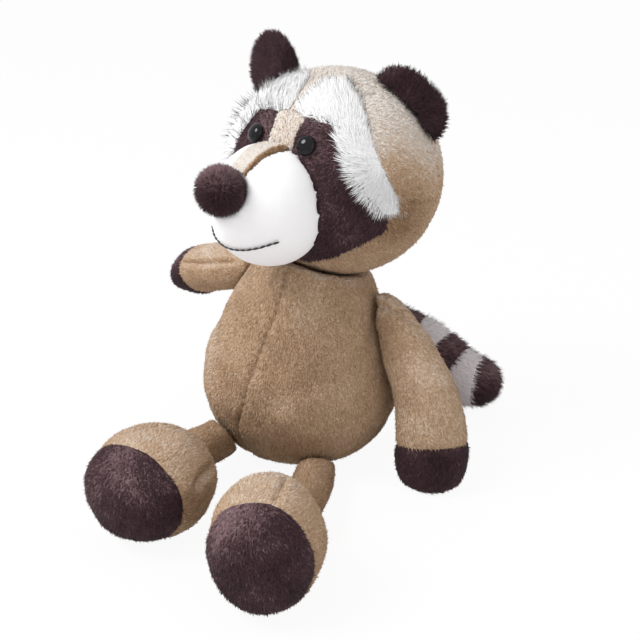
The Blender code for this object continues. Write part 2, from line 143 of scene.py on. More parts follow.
def cloth_tones(name, label, deep, mid, pale):
    """A group of settings for the three tones of one pile cloth."""
    fields = {
        # The shade and the tips end the tone, which carries brushing and also each panel's painted light and
        # painted shade
        "deep": colour("Shade", deep, f"{label.capitalize()} pile brushed dark"),
        "mid": colour("Cloth", mid, f"The {label} cloth's own colour"),
        "pale": colour("Tips", pale, f"{label.capitalize()} pile brushed light"),
    }
    return settings_group(name, f"Tones of the {label} cloth.", fields)


TaupeTones = cloth_tones("TaupeTones", "taupe", deep=(0.24, 0.138, 0.072), mid=(0.555, 0.378, 0.243),
                         pale=(0.87, 0.81, 0.75))
DarkTones = cloth_tones("DarkTones", "dark", deep=(0.028, 0.013, 0.017), mid=(0.078, 0.040, 0.046),
                        pale=(0.34, 0.22, 0.23))
WhiteTones = cloth_tones("WhiteTones", "white", deep=(0.93, 0.93, 0.95), mid=(0.97, 0.97, 0.98),
                         pale=(0.99, 0.99, 0.99))
LilacTones = cloth_tones("LilacTones", "lilac", deep=(0.46, 0.375, 0.385), mid=(0.86, 0.78, 0.79),
                         pale=(0.97, 0.91, 0.92))


class PlushColours(bpy.types.PropertyGroup):
    """Colours of the cloths, the plastic and the thread."""

    taupe: PointerProperty(type=TaupeTones)
    dark: PointerProperty(type=DarkTones)
    white: PointerProperty(type=WhiteTones)
    lilac: PointerProperty(type=LilacTones)
    velour: colour("Velour", (0.94, 0.93, 0.94), "White velour of the muzzle")
    eye: colour("Eye", (0.004, 0.004, 0.005), "Black plastic of the eyes")
    washer: colour("Washer", (0.7, 0.7, 0.7), "Plastic of the eyes' washers")
    thread: colour("Thread", (0.012, 0.011, 0.012), "Black mouth thread")


class StudioSettings(bpy.types.PropertyGroup):
    """The camera and the light."""

    camera_place: FloatVectorProperty(name="Camera place", description="Where the camera stands",
                                      default=(0.2682, -0.4022, 0.2930), subtype="TRANSLATION", size=3)
    camera_target: FloatVectorProperty(name="Camera target", description="Where the camera looks",
                                       default=(0.0106, 0.0093, 0.0690), subtype="TRANSLATION", size=3)
    lens: amount("Lens", 58.15, "Focal length in millimetres", unit="CAMERA")
    key_power: amount("Key lamp", 12.3, "Power of the large upper lamp", unit="POWER")
    fill_power: amount("Fill lamp", 0.8, "Power of the side lamp", unit="POWER")
    sky: share("Sky", 0.76, "Strength of the even light from all round")
    floor_reach: length("Floor reach", 12.0, "How far the floor goes on each side")
    floor: colour("Floor", (0.86, 0.86, 0.86), "Colour of the floor")


class PlushSettings(bpy.types.PropertyGroup):
    """All settings of the plush raccoon."""

    sizes: PointerProperty(type=PlushSizes)
    colours: PointerProperty(type=PlushColours)
    studio: PointerProperty(type=StudioSettings)
    short_pile: PointerProperty(type=ShortPile)
    dark_pile: PointerProperty(type=DarkPile)
    brow_pile: PointerProperty(type=BrowPile)
    tail_pile: PointerProperty(type=TailPile)
    nose_pile: PointerProperty(type=NosePile)
    ear_pile: PointerProperty(type=EarPile)
    seed: IntProperty(name="Seed", description="Changes how the pile falls", default=7, min=0)


def settings():
    return bpy.context.scene.plush_raccoon


class Value:
    """A node's output that takes part in Python sums, each of which adds its Math node."""

    def __init__(self, net, socket):
        self.net, self.socket = net, socket
        self.is_vector = socket.type in {"VECTOR", "RGBA"}

    def join(self, operation, first, second):
        first_vector, second_vector = (getattr(item, "is_vector", isinstance(item, (tuple, Vector)))
                                       for item in (first, second))
        if not (first_vector or second_vector):
            return self.net.add("ShaderNodeMath", {"operation": operation}, {0: first, 1: second})
        if operation == "MULTIPLY" and not (first_vector and second_vector):
            vector, number = (first, second) if first_vector else (second, first)
            return self.net.add("ShaderNodeVectorMath", {"operation": "SCALE"}, {0: vector, 3: number})
        return self.net.add("ShaderNodeVectorMath", {"operation": operation}, {0: first, 1: second})

    def __add__(self, other):
        return self.join("ADD", self, other)

    def __radd__(self, other):
        return self.join("ADD", other, self)

    def __sub__(self, other):
        return self.join("SUBTRACT", self, other)

    def __rsub__(self, other):
        return self.join("SUBTRACT", other, self)

    def __mul__(self, other):
        return self.join("MULTIPLY", self, other)

    def __truediv__(self, other):
        return self.join("DIVIDE", self, other)

    def __rtruediv__(self, other):
        return self.join("DIVIDE", other, self)

    def __lt__(self, other):
        return self.net.add("FunctionNodeCompare", {"operation": "LESS_THAN"}, {0: self, 1: other})

    def clamped(self):
        return self.net.add("ShaderNodeClamp", {}, {0: self})

    def unit(self):
        return self.net.add("ShaderNodeVectorMath", {"operation": "NORMALIZE"}, {0: self})

    def dot(self, other):
        return self.net.add("ShaderNodeVectorMath", {"operation": "DOT_PRODUCT"},
                            {0: self, 1: other}, "Value")

    def part(self, axis):
        return self.net.add("ShaderNodeSeparateXYZ", {}, {0: self}, axis)


class Net:
    """A node tree that is written as Python calls."""

    def __init__(self, tree):
        self.tree = tree

    def add(self, kind, options, values, output=0):
        """A node of a kind: its options are set first, then its sockets' values or links."""
        node = self.tree.nodes.new(kind)
        for name, option in options.items():
            setattr(node, name, option)
        for key, value in values.items():
            if isinstance(value, Value):
                self.tree.links.new(value.socket, node.inputs[key])
            else:
                node.inputs[key].default_value = value
        return Value(self, node.outputs[output]) if node.outputs else node

    def blend(self, factor, first, second):
        """One colour turning into another as a factor goes from 0 to 1."""
        return self.add("ShaderNodeMix", {"data_type": "RGBA"}, {0: factor, 6: first, 7: second}, 2)

    def noise(self, place, scale, detail=2.0, colour_output=False):
        return self.add("ShaderNodeTexNoise", {}, {"Vector": place, "Scale": scale, "Detail": detail},
                        int(colour_output))

    def object_place(self):
        return self.add("ShaderNodeTexCoord", {}, {}, "Object")


def rgba(colour_value):
    return (*colour_value, 1.0)


def new_material(name, constants):
    """A material whose shader has the given constant values, and its node tree to build on."""
    made = bpy.data.materials.new(name)
    made.use_nodes = True
    shader = made.node_tree.nodes["Principled BSDF"]
    for socket, value in constants.items():
        shader.inputs[socket].default_value = value
    return made, Net(made.node_tree), shader


def feed(net, shader, **links):
    """Links values to the shader's sockets, whose names are written with underscores."""
    for name, value in links.items():
        net.tree.links.new(value.socket, shader.inputs[name.replace("_", " ")])


def bump(net, height, distance):
    return net.add("ShaderNodeBump", {}, {"Height": height, "Distance": distance, "Strength": 1.0})


def pile_tone(net, place, fleck, streaks):
    """How much lighter or darker the pile is brushed at a place."""
    return (net.noise(place, 950.0, 2.0) - 0.5) * fleck + (net.noise(place, 60.0, 3.0) - 0.5) * streaks


def three_tones(net, tone, paints, shade=1.0):
    """A cloth's colour as its tone goes from 0, its darkest brushing and painted shade, over its own colour
    to 1, its lightest brushing and painted light; shade darkens all three as painted shade.
    """
    deep, middle, pale = (rgba(tuple(value * shade for value in paint)) for paint in paints)
    lower = net.blend((tone * 2.0).clamped(), deep, middle)
    return net.blend((tone * 2.0 - 1.0).clamped(), lower, pale)


def cloth_material(name, paints, pile, painted_root_shade):
    """The woven ground under the pile, in the tones of the pile that grows from it, darkened all over as
    painted shade under the pile.
    """
    made, net, shader = new_material(name, {"Roughness": 0.95, "Sheen Weight": 0.04, "Sheen Roughness": 0.5,
                                            "Specular IOR Level": 0.2})
    place = net.object_place()
    # The shade attribute is each panel's tone, with its painted light and painted shade
    shade = net.add("ShaderNodeAttribute", {"attribute_name": "shade"}, {}, "Fac")
    grain = net.noise(place, 1600.0, 1.0) - 0.5
    tone = (shade + pile_tone(net, place, pile.fleck, pile.streaks) + grain * 0.8).clamped()
    feed(net, shader, Base_Color=three_tones(net, tone, paints, painted_root_shade), Normal=bump(net, grain, 0.0004))
    return made


def strand_material(name, paints, painted_root_shade):
    """Pile whose map holds each strand's tone across and its root to tip along, painted darker towards its
    root as shade between the strands.
    """
    made, net, shader = new_material(name, {"Roughness": 0.85, "Sheen Weight": 0.04, "Sheen Roughness": 0.4,
                                            "Specular IOR Level": 0.2})
    strand = net.add("ShaderNodeUVMap", {"uv_map": "OFBake"}, {})
    tone, along = strand.part("X"), strand.part("Y")
    # Each strand's root is painted darker, as shade that falls between the strands
    body, root = three_tones(net, tone, paints), three_tones(net, tone, paints, painted_root_shade)
    feed(net, shader, Base_Color=net.blend((along * 1.6).clamped(), root, body))
    return made


# The muzzle's velour is painted darker and a little pinker, as shade, from the second of these heights down
# to the first
MUZZLE_LOW = (0.100, 0.135)


def velour_material(name, colour_value):
    """Close, smooth velour: a fine nap that clouds a little as it is brushed."""
    made, net, shader = new_material(name, {"Roughness": 0.9, "Sheen Weight": 0.35, "Sheen Roughness": 0.5})
    place = net.object_place()
    cloud = net.noise(place, 45.0, 2.0)
    nap = net.noise(place, 1500.0, 1.0)
    low = net.add("ShaderNodeMapRange", {}, {"Value": place.part("Z"), "From Min": MUZZLE_LOW[0],
                                             "From Max": MUZZLE_LOW[1]})
    # Low on the muzzle the velour is painted towards its shaded colour as shade; the clouds and the nap vary
    # it at random
    shaded = tuple(value * tint for value, tint in zip(colour_value, (0.93, 0.88, 0.91)))
    low_shade_and_cloud = ((1 - low) * 0.7 + (cloud - 0.5) * 0.8).clamped()
    ground = net.blend(low_shade_and_cloud, rgba(colour_value), rgba(shaded))
    feed(net, shader, Base_Color=net.blend((nap - 0.35) * 0.12, ground, rgba(shaded)),
         Normal=bump(net, nap, 0.00012))
    return made


def plastic_material(name, colour_value, roughness, shine=0.5):
    """Moulded plastic with the faint unevenness of its mould."""
    made, net, shader = new_material(name, {"Specular IOR Level": shine})
    place = net.object_place()
    grain = net.noise(place, 700.0, 2.0)
    lighter = tuple(min(value * 1.6 + 0.003, 1.0) for value in colour_value)
    feed(net, shader, Base_Color=net.blend(grain, rgba(colour_value), rgba(lighter)),
         Roughness=roughness + (grain - 0.5) * 0.04)
    return made


def thread_material(name, colour_value):
    """Twisted thread: the strands of its ply wind round it."""
    made, net, shader = new_material(name, {"Roughness": 0.7, "Sheen Weight": 0.2})
    place = net.object_place()
    ply = net.add("ShaderNodeTexWave", {"wave_type": "BANDS", "bands_direction": "DIAGONAL"},
                  {"Vector": place, "Scale": 900.0, "Distortion": 1.0}, "Fac")
    lighter = tuple(value * 4 for value in colour_value)
    feed(net, shader, Base_Color=net.blend(ply * 0.5, rgba(colour_value), rgba(lighter)),
         Normal=bump(net, ply, 0.00012))
    return made


def new_tree(name, inputs):
    """The net of a modifier's node tree that takes geometry and the inputs, and the inputs' values."""
    tree = bpy.data.node_groups.new(name, "GeometryNodeTree")
    tree.is_modifier = True
    for socket, kind in {"Geometry": "Geometry", **inputs, "Seed": "Int", "Material": "Material"}.items():
        tree.interface.new_socket(socket, in_out="INPUT", socket_type="NodeSocket" + kind)
    tree.interface.new_socket("Geometry", in_out="OUTPUT", socket_type="NodeSocketGeometry")
    net = Net(tree)
    group = tree.nodes.new("NodeGroupInput")
    return net, {socket.name: Value(net, socket) for socket in group.outputs if socket.name}


def end_tree(net, mesh, material):
    """Gives the tree's mesh its material and hands it out."""
    mesh = net.add("GeometryNodeSetMaterial", {}, {"Geometry": mesh, "Material": material})
    net.tree.links.new(mesh.socket, net.tree.nodes.new("NodeGroupOutput").inputs[0])
    return net.tree


def pile_tree(segments):
    """Geometry Nodes that grow strands on a panel, brushed along its nap, keep them off its seams and paint
    them darker beside the seams as shade.
    """
    lengths = ("Length", "Width", "Density", "Lean", "Scatter", "Clump", "Clump Size", "Bend", "Seam Gap",
               "Streaks", "Fleck", "Evenness")
    net, given = new_tree(f"pile_with_{segments}_segments",
                          {**dict.fromkeys(lengths, "Float"), "Seams": "Object"})

    def attribute(name, kind="FLOAT"):
        return net.add("GeometryNodeInputNamedAttribute", {"data_type": kind}, {"Name": name})

    def random_vector(seed):
        return net.add("FunctionNodeRandomValue", {"data_type": "FLOAT_VECTOR"},
                       {0: (-1, -1, -1), 1: (1, 1, 1), "Seed": seed})

    def random_number(low, high, seed):
        return net.add("FunctionNodeRandomValue", {"data_type": "FLOAT"}, {2: low, 3: high, "Seed": seed}, 1)

    def store(geometry, name, value, kind, domain):
        return net.add("GeometryNodeStoreNamedAttribute", {"data_type": kind, "domain": domain},
                       {"Geometry": geometry, "Name": name, "Value": value})

    scatter = net.add("GeometryNodeDistributePointsOnFaces", {},
                      {"Mesh": given["Geometry"], "Density": given["Density"] * attribute("cover"),
                       "Seed": given["Seed"]})
    normal = Value(net, scatter.socket.node.outputs["Normal"])
    place = net.add("GeometryNodeInputPosition", {}, {})
    seams = net.add("GeometryNodeObjectInfo", {}, {"Object": given["Seams"]}, "Geometry")
    away = net.add("GeometryNodeProximity", {"target_element": "EDGES"},
                   {0: seams, "Sample Position": place}, "Distance")
    points = net.add("GeometryNodeDeleteGeometry", {"domain": "POINT"},
                     {"Geometry": scatter, "Selection": away < given["Seam Gap"]})

    nap = attribute("nap", "FLOAT_VECTOR")
    swirl = net.noise(place, 38.0, 1.0, True) - (0.5, 0.5, 0.5)
    nap = nap + swirl * 1.1
    flat = (nap - normal * nap.dot(normal)).unit()
    cell = net.add("ShaderNodeTexVoronoi", {}, {"Vector": place, "Scale": 1 / given["Clump Size"]},
                   "Position")
    gather = (cell - place) * (given["Clump"] / given["Length"])
    direction = (normal * (1 - given["Lean"]) + flat * given["Lean"] + gather
                 + random_vector(given["Seed"] + 1) * given["Scatter"]).unit()
    direction = direction + normal * (0.30 - direction.dot(normal)).clamped()

    # Beside a seam the pile is painted darker, as shade in the seam's valley
    seam_painted_shade = 1 - (away / (given["Seam Gap"] * 3)).clamped()
    # The shade attribute brings each panel's painted light and painted shade into the tone
    tone = (attribute("shade") + pile_tone(net, place, given["Fleck"], given["Streaks"])
            + random_number(-0.11, 0.11, given["Seed"] + 2) * given["Fleck"] - seam_painted_shade * 0.3).clamped()
    points = store(points, "tone", tone, "FLOAT", "POINT")
    points = store(points, "facing", normal, "FLOAT_VECTOR", "POINT")

    cone = net.add("GeometryNodeMeshCone", {"fill_type": "NGON"},
                   {"Vertices": 3, "Side Segments": segments, "Radius Top": 0.0,
                    "Radius Bottom": given["Width"] * 0.5, "Depth": given["Length"]})
    along = place.part("Z") / given["Length"]
    strand = store(cone, "along", along, "FLOAT", "POINT")
    bend = net.add("ShaderNodeCombineXYZ", {}, {0: given["Bend"] * given["Length"] * along * along})
    full = net.add("ShaderNodeCombineXYZ", {}, {0: place.part("X") * along, 1: place.part("Y") * along})
    strand = net.add("GeometryNodeSetPosition", {}, {"Geometry": strand, "Offset": bend + full})

    upright = net.add("FunctionNodeAlignRotationToVector", {"axis": "Z"}, {"Vector": direction})
    combed = net.add("FunctionNodeAlignRotationToVector", {"axis": "X", "pivot_axis": "Z"},
                     {"Rotation": upright, "Vector": flat})
    size = attribute("grow") * random_number(0.72, 1.12, given["Seed"] + 3)
    strands = net.add("GeometryNodeInstanceOnPoints", {},
                      {"Points": points, "Instance": strand, "Rotation": combed, "Scale": size})
    mesh = net.add("GeometryNodeRealizeInstances", {}, {"Geometry": strands})
    mesh = net.add("GeometryNodeSetShadeSmooth", {}, {"Geometry": mesh, "Shade Smooth": True})
    own = net.add("GeometryNodeInputNormal", {}, {})
    lit = attribute("facing", "FLOAT_VECTOR") * given["Evenness"] + own * (1 - given["Evenness"])
    mesh = net.add("GeometryNodeSetMeshNormal", {"mode": "FREE", "domain": "CORNER"},
                   {"Mesh": mesh, "Custom Normal": lit.unit()})
    map_place = net.add("ShaderNodeCombineXYZ", {}, {0: attribute("tone"), 1: attribute("along")})
    mesh = store(mesh, "OFBake", map_place, "FLOAT2", "CORNER")
    return end_tree(net, mesh, given["Material"])


def set_inputs(piece, tree, values):
    """Puts a node tree on a piece as a modifier, with its inputs set by their identifiers."""
    modifier = piece.modifiers.new(tree.name, "NODES")
    modifier.node_group = tree
    for socket in tree.interface.items_tree:
        if socket.in_out == "INPUT" and socket.name in values:
            modifier[socket.identifier] = values[socket.name]


def new_object(name, data):
    made = bpy.data.objects.new(name, data)
    bpy.context.scene.collection.objects.link(made)
    return made


def applied(piece):
    """Makes the piece's modifiers part of its mesh."""
    depsgraph = bpy.context.evaluated_depsgraph_get()
    mesh = bpy.data.meshes.new_from_object(piece.evaluated_get(depsgraph))
    old = piece.data
    piece.modifiers.clear()
    piece.data = mesh
    bpy.data.meshes.remove(old)
    return piece


def solid_copy(node, name):
    """A merged copy of a CAD node's mesh."""
    mesh = bmesh.new()
    mesh.from_mesh(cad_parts[node].data)
    bmesh.ops.remove_doubles(mesh, verts=mesh.verts[:], dist=0.00002)
    data = bpy.data.meshes.new(name)
    mesh.to_mesh(data)
    mesh.free()
    return new_object(name, data)


def remesh(piece, voxel, smoothing):
    """An even mesh of the form, with its facets smoothed away."""
    modifier = piece.modifiers.new("even", "REMESH")
    modifier.mode = "VOXEL"
    modifier.voxel_size = voxel
    modifier.use_smooth_shade = True
    relax = piece.modifiers.new("relax", "SMOOTH")
    relax.factor = 0.5
    relax.iterations = smoothing
    return applied(piece)


def subdivide(piece, levels=1):
    modifier = piece.modifiers.new("finer", "SUBSURF")
    modifier.levels = modifier.render_levels = levels
    return applied(piece)


def move_points(piece, change):
    """Moves each point by what a function of its place and normal returns."""
    points = [(vertex.co.copy(), vertex.normal.copy()) for vertex in piece.data.vertices]
    moved = [axis for place, normal in points for axis in place + change(place, normal)]
    piece.data.vertices.foreach_set("co", moved)
    piece.data.update()


def refine(piece, path, reach):
    """Halves the edges that lie near a path, so that a seam can be sharp."""
    tree = tree_of(path)
    mesh = bmesh.new()
    mesh.from_mesh(piece.data)
    near = [edge for edge in mesh.edges if tree.find((edge.verts[0].co + edge.verts[1].co) / 2)[2] < reach]
    bmesh.ops.subdivide_edges(mesh, edges=near, cuts=1, use_grid_fill=True, smooth=1.0)
    bmesh.ops.triangulate(mesh, faces=[face for face in mesh.faces if len(face.verts) > 4])
    mesh.to_mesh(piece.data)
    mesh.free()


def dent(piece, size, depth, seed):
    """Soft dents and swellings, as a hand leaves in stuffing."""
    shift = Vector((seed * 7.3, seed * 3.1, seed * 5.7))
    move_points(piece, lambda place, normal: normal * depth * noise.noise(place / size + shift))


def inset(piece, depth):
    move_points(piece, lambda place, normal: -normal * depth)


def swell(piece, held):
    """A cloth simulation with a faint stuffing pressure, which eases the cloth and hardly swells it.

    held says how firmly a point is held, from 0 to 1.
    """
    sizes = settings().sizes
    start = [vertex.co.copy() for vertex in piece.data.vertices]
    group = piece.vertex_groups.new(name="held")
    for vertex in piece.data.vertices:
        group.add([vertex.index], held(vertex.co), "REPLACE")
    cloth = piece.modifiers.new("cloth", "CLOTH")
    cloth.settings.use_pressure = True
    cloth.settings.uniform_pressure_force = sizes.pressure
    cloth.settings.effector_weights.gravity = 0
    cloth.settings.vertex_group_mass = group.name
    cloth.settings.quality = 4
    cloth.point_cache.frame_end = 20
    scene = bpy.context.scene
    for step in range(1, 21):
        scene.frame_set(step)
    applied(piece)
    scene.frame_set(1)
    for vertex, old in zip(piece.data.vertices, start):
        moved = vertex.co - old
        if moved.length > sizes.swell_limit:
            vertex.co = old + moved.normalized() * sizes.swell_limit
    piece.data.update()
    piece.vertex_groups.clear()


def surface_of(piece):
    mesh = piece.data
    return BVHTree.FromPolygons([vertex.co for vertex in mesh.vertices],
                                [polygon.vertices for polygon in mesh.polygons])


def smooth_path(corners, step):
    """Evenly spaced places on a smooth curve through the corners."""
    corners = [Vector(corner) for corner in corners]
    places = []
    for index in range(len(corners) - 1):
        b, c = corners[index], corners[index + 1]
        a = corners[index - 1] if index else 2 * b - c
        d = corners[index + 2] if index + 2 < len(corners) else 2 * c - b
        count = max(2, round((c - b).length / step))
        for tick in range(count):
            t = tick / count
            places.append(0.5 * (2 * b + (c - a) * t + (2 * a - 5 * b + 4 * c - d) * t**2
                                 + (3 * b - a - 3 * c + d) * t**3))
    return places + [corners[-1]]


def seam_on(piece, corners, step=0.0008):
    """A path laid on the piece's surface through the places nearest to the corners."""
    surface = surface_of(piece)
    return [surface.find_nearest(place)[0] for place in smooth_path(corners, step)]


def tree_of(places):
    tree = KDTree(len(places))
    for index, place in enumerate(places):
        tree.insert(place, index)
    tree.balance()
    return tree


def sew(piece, path, depth=1.0, width=1.0, pucker=1.0):
    """Pulls the cloth in along a path and gathers it a little on both sides."""
    sizes = settings().sizes
    refine(piece, path, 2.5 * sizes.seam_width * width)
    tree = tree_of(path)
    run = [0.0]
    for before, after in zip(path, path[1:]):
        run.append(run[-1] + (after - before).length)
    reach = sizes.seam_width * width

    def pull(place, normal):
        _, index, away = tree.find(place)
        valley = math.exp(-(away / reach) ** 2)
        gather = math.sin(run[index] / sizes.pucker_pitch * math.tau) * math.exp(-(away / (2 * reach)) ** 2)
        return normal * (sizes.pucker * pucker * gather - sizes.seam_depth * depth * valley)

    move_points(piece, pull)


def seam_lines(name, paths):
    """The seams as loose edges, for the pile to keep clear of."""
    data = bpy.data.meshes.new(name)
    places, edges = [], []
    for path in paths or [[Vector((0, 0, -9)), Vector((0, 0, -10))]]:
        first = len(places)
        places += path
        edges += [(index, index + 1) for index in range(first, first + len(path) - 1)]
    data.from_pydata(places, edges, [])
    return new_object(name, data)


NODE_SURFACES = {name: (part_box(name), surface_of(node)) for name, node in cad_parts.items()}


def covered(place, own):
    """Whether a place lies inside another of the toy's solids."""
    for name, ((low, high), surface) in NODE_SURFACES.items():
        if name in own or any(place[axis] < low[axis] or place[axis] > high[axis] for axis in range(3)):
            continue
        found, facing, _, _ = surface.find_nearest(place)
        if (place - found).dot(facing) < 0:
            return True
    return False


# Under this height, the cloth that faces the floor has no pile
FLOOR_CLEARANCE = 0.0012
# Pile grows where the cloth is clear of the other solids by this much
PILE_CLEARANCE = 0.0009


def comb(piece, own, nap, shade, grow):
    """Writes on the panel how its pile is brushed, its tone with the painted light and painted shade in it,
    how it is grown, and where it is left out.
    """
    def worth(rule, vertex):
        return rule(vertex.co, vertex.normal) if callable(rule) else rule

    def shown(vertex):
        under = vertex.co.z < FLOOR_CLEARANCE and vertex.normal.z < -0.6
        return 0.0 if under or covered(vertex.co + vertex.normal * PILE_CLEARANCE, own) else 1.0

    points = piece.data.vertices
    naps = [axis for point in points for axis in worth(nap, point)]
    write_attribute(piece.data, "nap", "FLOAT_VECTOR", naps)
    write_attribute(piece.data, "cover", "FLOAT", [shown(point) for point in points])
    write_attribute(piece.data, "shade", "FLOAT", [worth(shade, point) for point in points])
    write_attribute(piece.data, "grow", "FLOAT", [worth(grow, point) for point in points])


def write_attribute(mesh, name, kind, values):
    layer = mesh.attributes.new(name, kind, "POINT")
    layer.data.foreach_set("vector" if kind == "FLOAT_VECTOR" else "value", values)


def grow_pile(panel, name, pile, material, seams=(), bend=0.0, segments=1, seed=0, evenness=0.5):
    """Grows the pile of a combed panel as one mesh. At an evenness of 1 it is lit like its ground."""
    tree = bpy.data.node_groups.get(f"pile_with_{segments}_segments") or pile_tree(segments)
    lines = seam_lines(name + "_seams", seams)
    maker = new_object(name + "_maker", panel.data.copy())
    values = {"Length": pile.length, "Width": pile.width, "Density": pile.density * 1e6, "Lean": pile.lean,
              "Scatter": pile.scatter, "Clump": pile.clump, "Clump Size": pile.clump_size, "Bend": bend,
              "Evenness": evenness, "Seam Gap": settings().sizes.seam_gap, "Streaks": pile.streaks,
              "Fleck": pile.fleck,
              "Seed": settings().seed + seed, "Seams": lines, "Material": material}
    set_inputs(maker, tree, values)
    depsgraph = bpy.context.evaluated_depsgraph_get()
    mesh = bpy.data.meshes.new_from_object(maker.evaluated_get(depsgraph))
    for data, spares in ((mesh, ("tone", "along", "facing")), (panel.data, ("nap", "cover", "grow"))):
        for spare in spares:
            if spare in data.attributes:
                data.attributes.remove(data.attributes[spare])
    made = new_object(name, mesh)
    for helper in (maker, lines):
        remove(helper)
    return made


def brushed(marks, place):
    """The sum of soft round marks, each a place, a reach and how much lighter the pile is there; the marks
    hold brushed patches and also painted light and painted shade.
    """
    return sum(lighter * math.exp(-((place - Vector(spot)).length / reach) ** 2)
               for spot, reach, lighter in marks)


def rise(value, low, high):
    """0 below low, 1 above high and smooth between them."""
    share_of_way = min(max((value - low) / (high - low), 0.0), 1.0)
    return share_of_way * share_of_way * (3 - 2 * share_of_way)


# The gap between neighbouring CAD solids, which their joined form closes
SOLID_GAP = 0.0003
# How far along a form the valley at a change of cloth reaches
VALLEY_REACH = 0.0016
DENT_SIZE = 0.014


def seam_plane(first, second):
    """The middle and the facing of the flat face that one CAD solid turns to its neighbour."""
    surface = NODE_SURFACES[second][1]
    middle, facing, total = Vector((0, 0, 0)), Vector((0, 0, 0)), 0.0
    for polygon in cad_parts[first].data.polygons:
        if surface.find_nearest(polygon.center)[3] < 2 * SOLID_GAP:
            middle += polygon.center * polygon.area
            facing += polygon.normal * polygon.area
            total += polygon.area
    return middle / total, facing.normalized()


def joined_copy(nodes, name):
    """One form from neighbouring CAD solids, each let out a little so that they meet."""
    mesh = bmesh.new()
    for node in nodes:
        piece = solid_copy(node, node + "_let_out")
        inset(piece, -SOLID_GAP)
        mesh.from_mesh(piece.data)
        remove(piece)
    data = bpy.data.meshes.new(name)
    mesh.to_mesh(data)
    mesh.free()
    return new_object(name, data)


def remove(piece):
    data = piece.data
    bpy.data.objects.remove(piece, do_unlink=True)
    bpy.data.meshes.remove(data)


def cut_away(piece, middle, facing):
    """Removes the cloth beyond a plane and leaves the cut open."""
    mesh = bmesh.new()
    mesh.from_mesh(piece.data)
    bmesh.ops.bisect_plane(mesh, geom=mesh.verts[:] + mesh.edges[:] + mesh.faces[:], dist=1e-6,
                           plane_co=middle, plane_no=facing, clear_outer=True)
    mesh.to_mesh(piece.data)
    mesh.free()


def close_cuts(piece):
    """Closes the ends that were cut open, with flat faces."""
    mesh = bmesh.new()
    mesh.from_mesh(piece.data)
    rims = [edge for edge in mesh.edges if edge.is_boundary]
    if rims:
        bmesh.ops.holes_fill(mesh, edges=rims, sides=0)
        bmesh.ops.triangulate(mesh, faces=[face for face in mesh.faces if len(face.verts) > 4])
        bmesh.ops.recalc_face_normals(mesh, faces=mesh.faces[:])
        mesh.to_mesh(piece.data)
    mesh.free()


def brush(panel, name, node, own, kind, pile, nap, shade, grow=1.0, fill=None, prepare=None, **growth):
    """Combs a panel of one kind of cloth, grows its pile and finishes both.

    prepare changes the combed panel before its pile grows.
    """
    comb(panel, own, nap, shade, grow)
    if prepare:
        prepare(panel)
    strands = grow_pile(panel, name + "_pile", pile, cloths()[kind + "_strands"], **growth)
    close_cuts(panel)
    finish_piece(panel, cloths()[kind + "_ground"], [node])
    finish_piece(strands)


def dress(parts, fill, *, voxel, smoothing, depth=0.0009, seams=(), swollen=None, dents=0.0, valley=0.0007,
          shape=None, grow=1.0, seed=0):
    """Turns a row of CAD solids into one stuffed form, cut into panels where their cloths meet.

    parts are (node, kind of cloth, pile, nap, shade), and seams are (corners, depth, width) with
    places near the surface. swollen says how firmly a place is held in the cloth simulation. shape
    changes the form before it is sewn.
    """
    nodes = [part[0] for part in parts]
    joined = len(nodes) > 1
    name = nodes[0] + "_whole"
    whole = joined_copy(nodes, name) if joined else solid_copy(nodes[0], name)
    remesh(whole, voxel, smoothing)
    inset(whole, depth)
    if swollen:
        swell(whole, swollen)
    if swollen or joined:
        subdivide(whole)
    if dents:
        dent(whole, DENT_SIZE, dents, seed)
    if shape:
        shape(whole)
    planes = [seam_plane(first, second) for first, second in zip(nodes, nodes[1:])]
    for middle, facing in planes:
        def pull(place, normal, middle=middle, facing=facing):
            return -normal * valley * math.exp(-((place - middle).dot(facing) / VALLEY_REACH) ** 2)

        move_points(whole, pull)
    paths = []
    for corners, deep, wide in seams:
        paths.append(seam_on(whole, corners))
        sew(whole, paths[-1], deep, wide, pucker=1.0 if deep >= 1 else 0.3)
    for index, (node, kind, pile, nap, shade) in enumerate(parts):
        panel = new_object(node + "_cloth", whole.data.copy())
        if index < len(planes):
            cut_away(panel, *planes[index])
        if index:
            middle, facing = planes[index - 1]
            cut_away(panel, middle, -facing)
        brush(panel, node, node, set(nodes), kind, pile, nap, shade, grow, fill,
              seams=paths, seed=seed + index)
    remove(whole)


SIDES = ((1, "left"), (-1, "right"))


def finish_piece(piece, material=None, nodes=()):
    """Gives a piece its material, smooth shading and its body, and hides the CAD nodes that it stands for."""
    if material:
        piece.data.materials.clear()
        piece.data.materials.append(material)
    piece.data.shade_smooth()
    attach(piece, BODY)
    if nodes:
        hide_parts(*nodes)
    return piece


def cloths():
    """The toy's cloth and strand materials, made once."""
    made = bpy.data.materials
    if "taupe_ground" not in made:
        toy = settings()
        # The last number of each darkens the pile's roots and its ground, as painted shade under the pile
        for name, pile, painted_root_shade in (("taupe", toy.short_pile, 0.9), ("dark", toy.dark_pile, 0.8),
                                       ("white", toy.brow_pile, 1.0), ("lilac", toy.tail_pile, 0.8)):
            tones = getattr(toy.colours, name)
            paints = (tones.deep, tones.mid, tones.pale)
            cloth_material(name + "_ground", paints, pile, painted_root_shade)
            strand_material(name + "_strands", paints, painted_root_shade)
        velour_material("muzzle_velour", toy.colours.velour)
    return made


def head_local(place):
    return HEAD_AXES @ place


def head_direction(x, y, z):
    return HEAD_POSE.to_3x3() @ Vector((x, y, z))


def head_level(place):
    """How far a place lies outside the head's ball, and the way out, in the head's axes."""
    scaled = Vector(tuple(value / half for value, half in zip(place, HEAD_HALVES)))
    gradient = Vector(tuple(value / half for value, half in zip(scaled, HEAD_HALVES))) / scaled.length
    return (scaled.length - 1) / gradient.length, gradient.normalized()


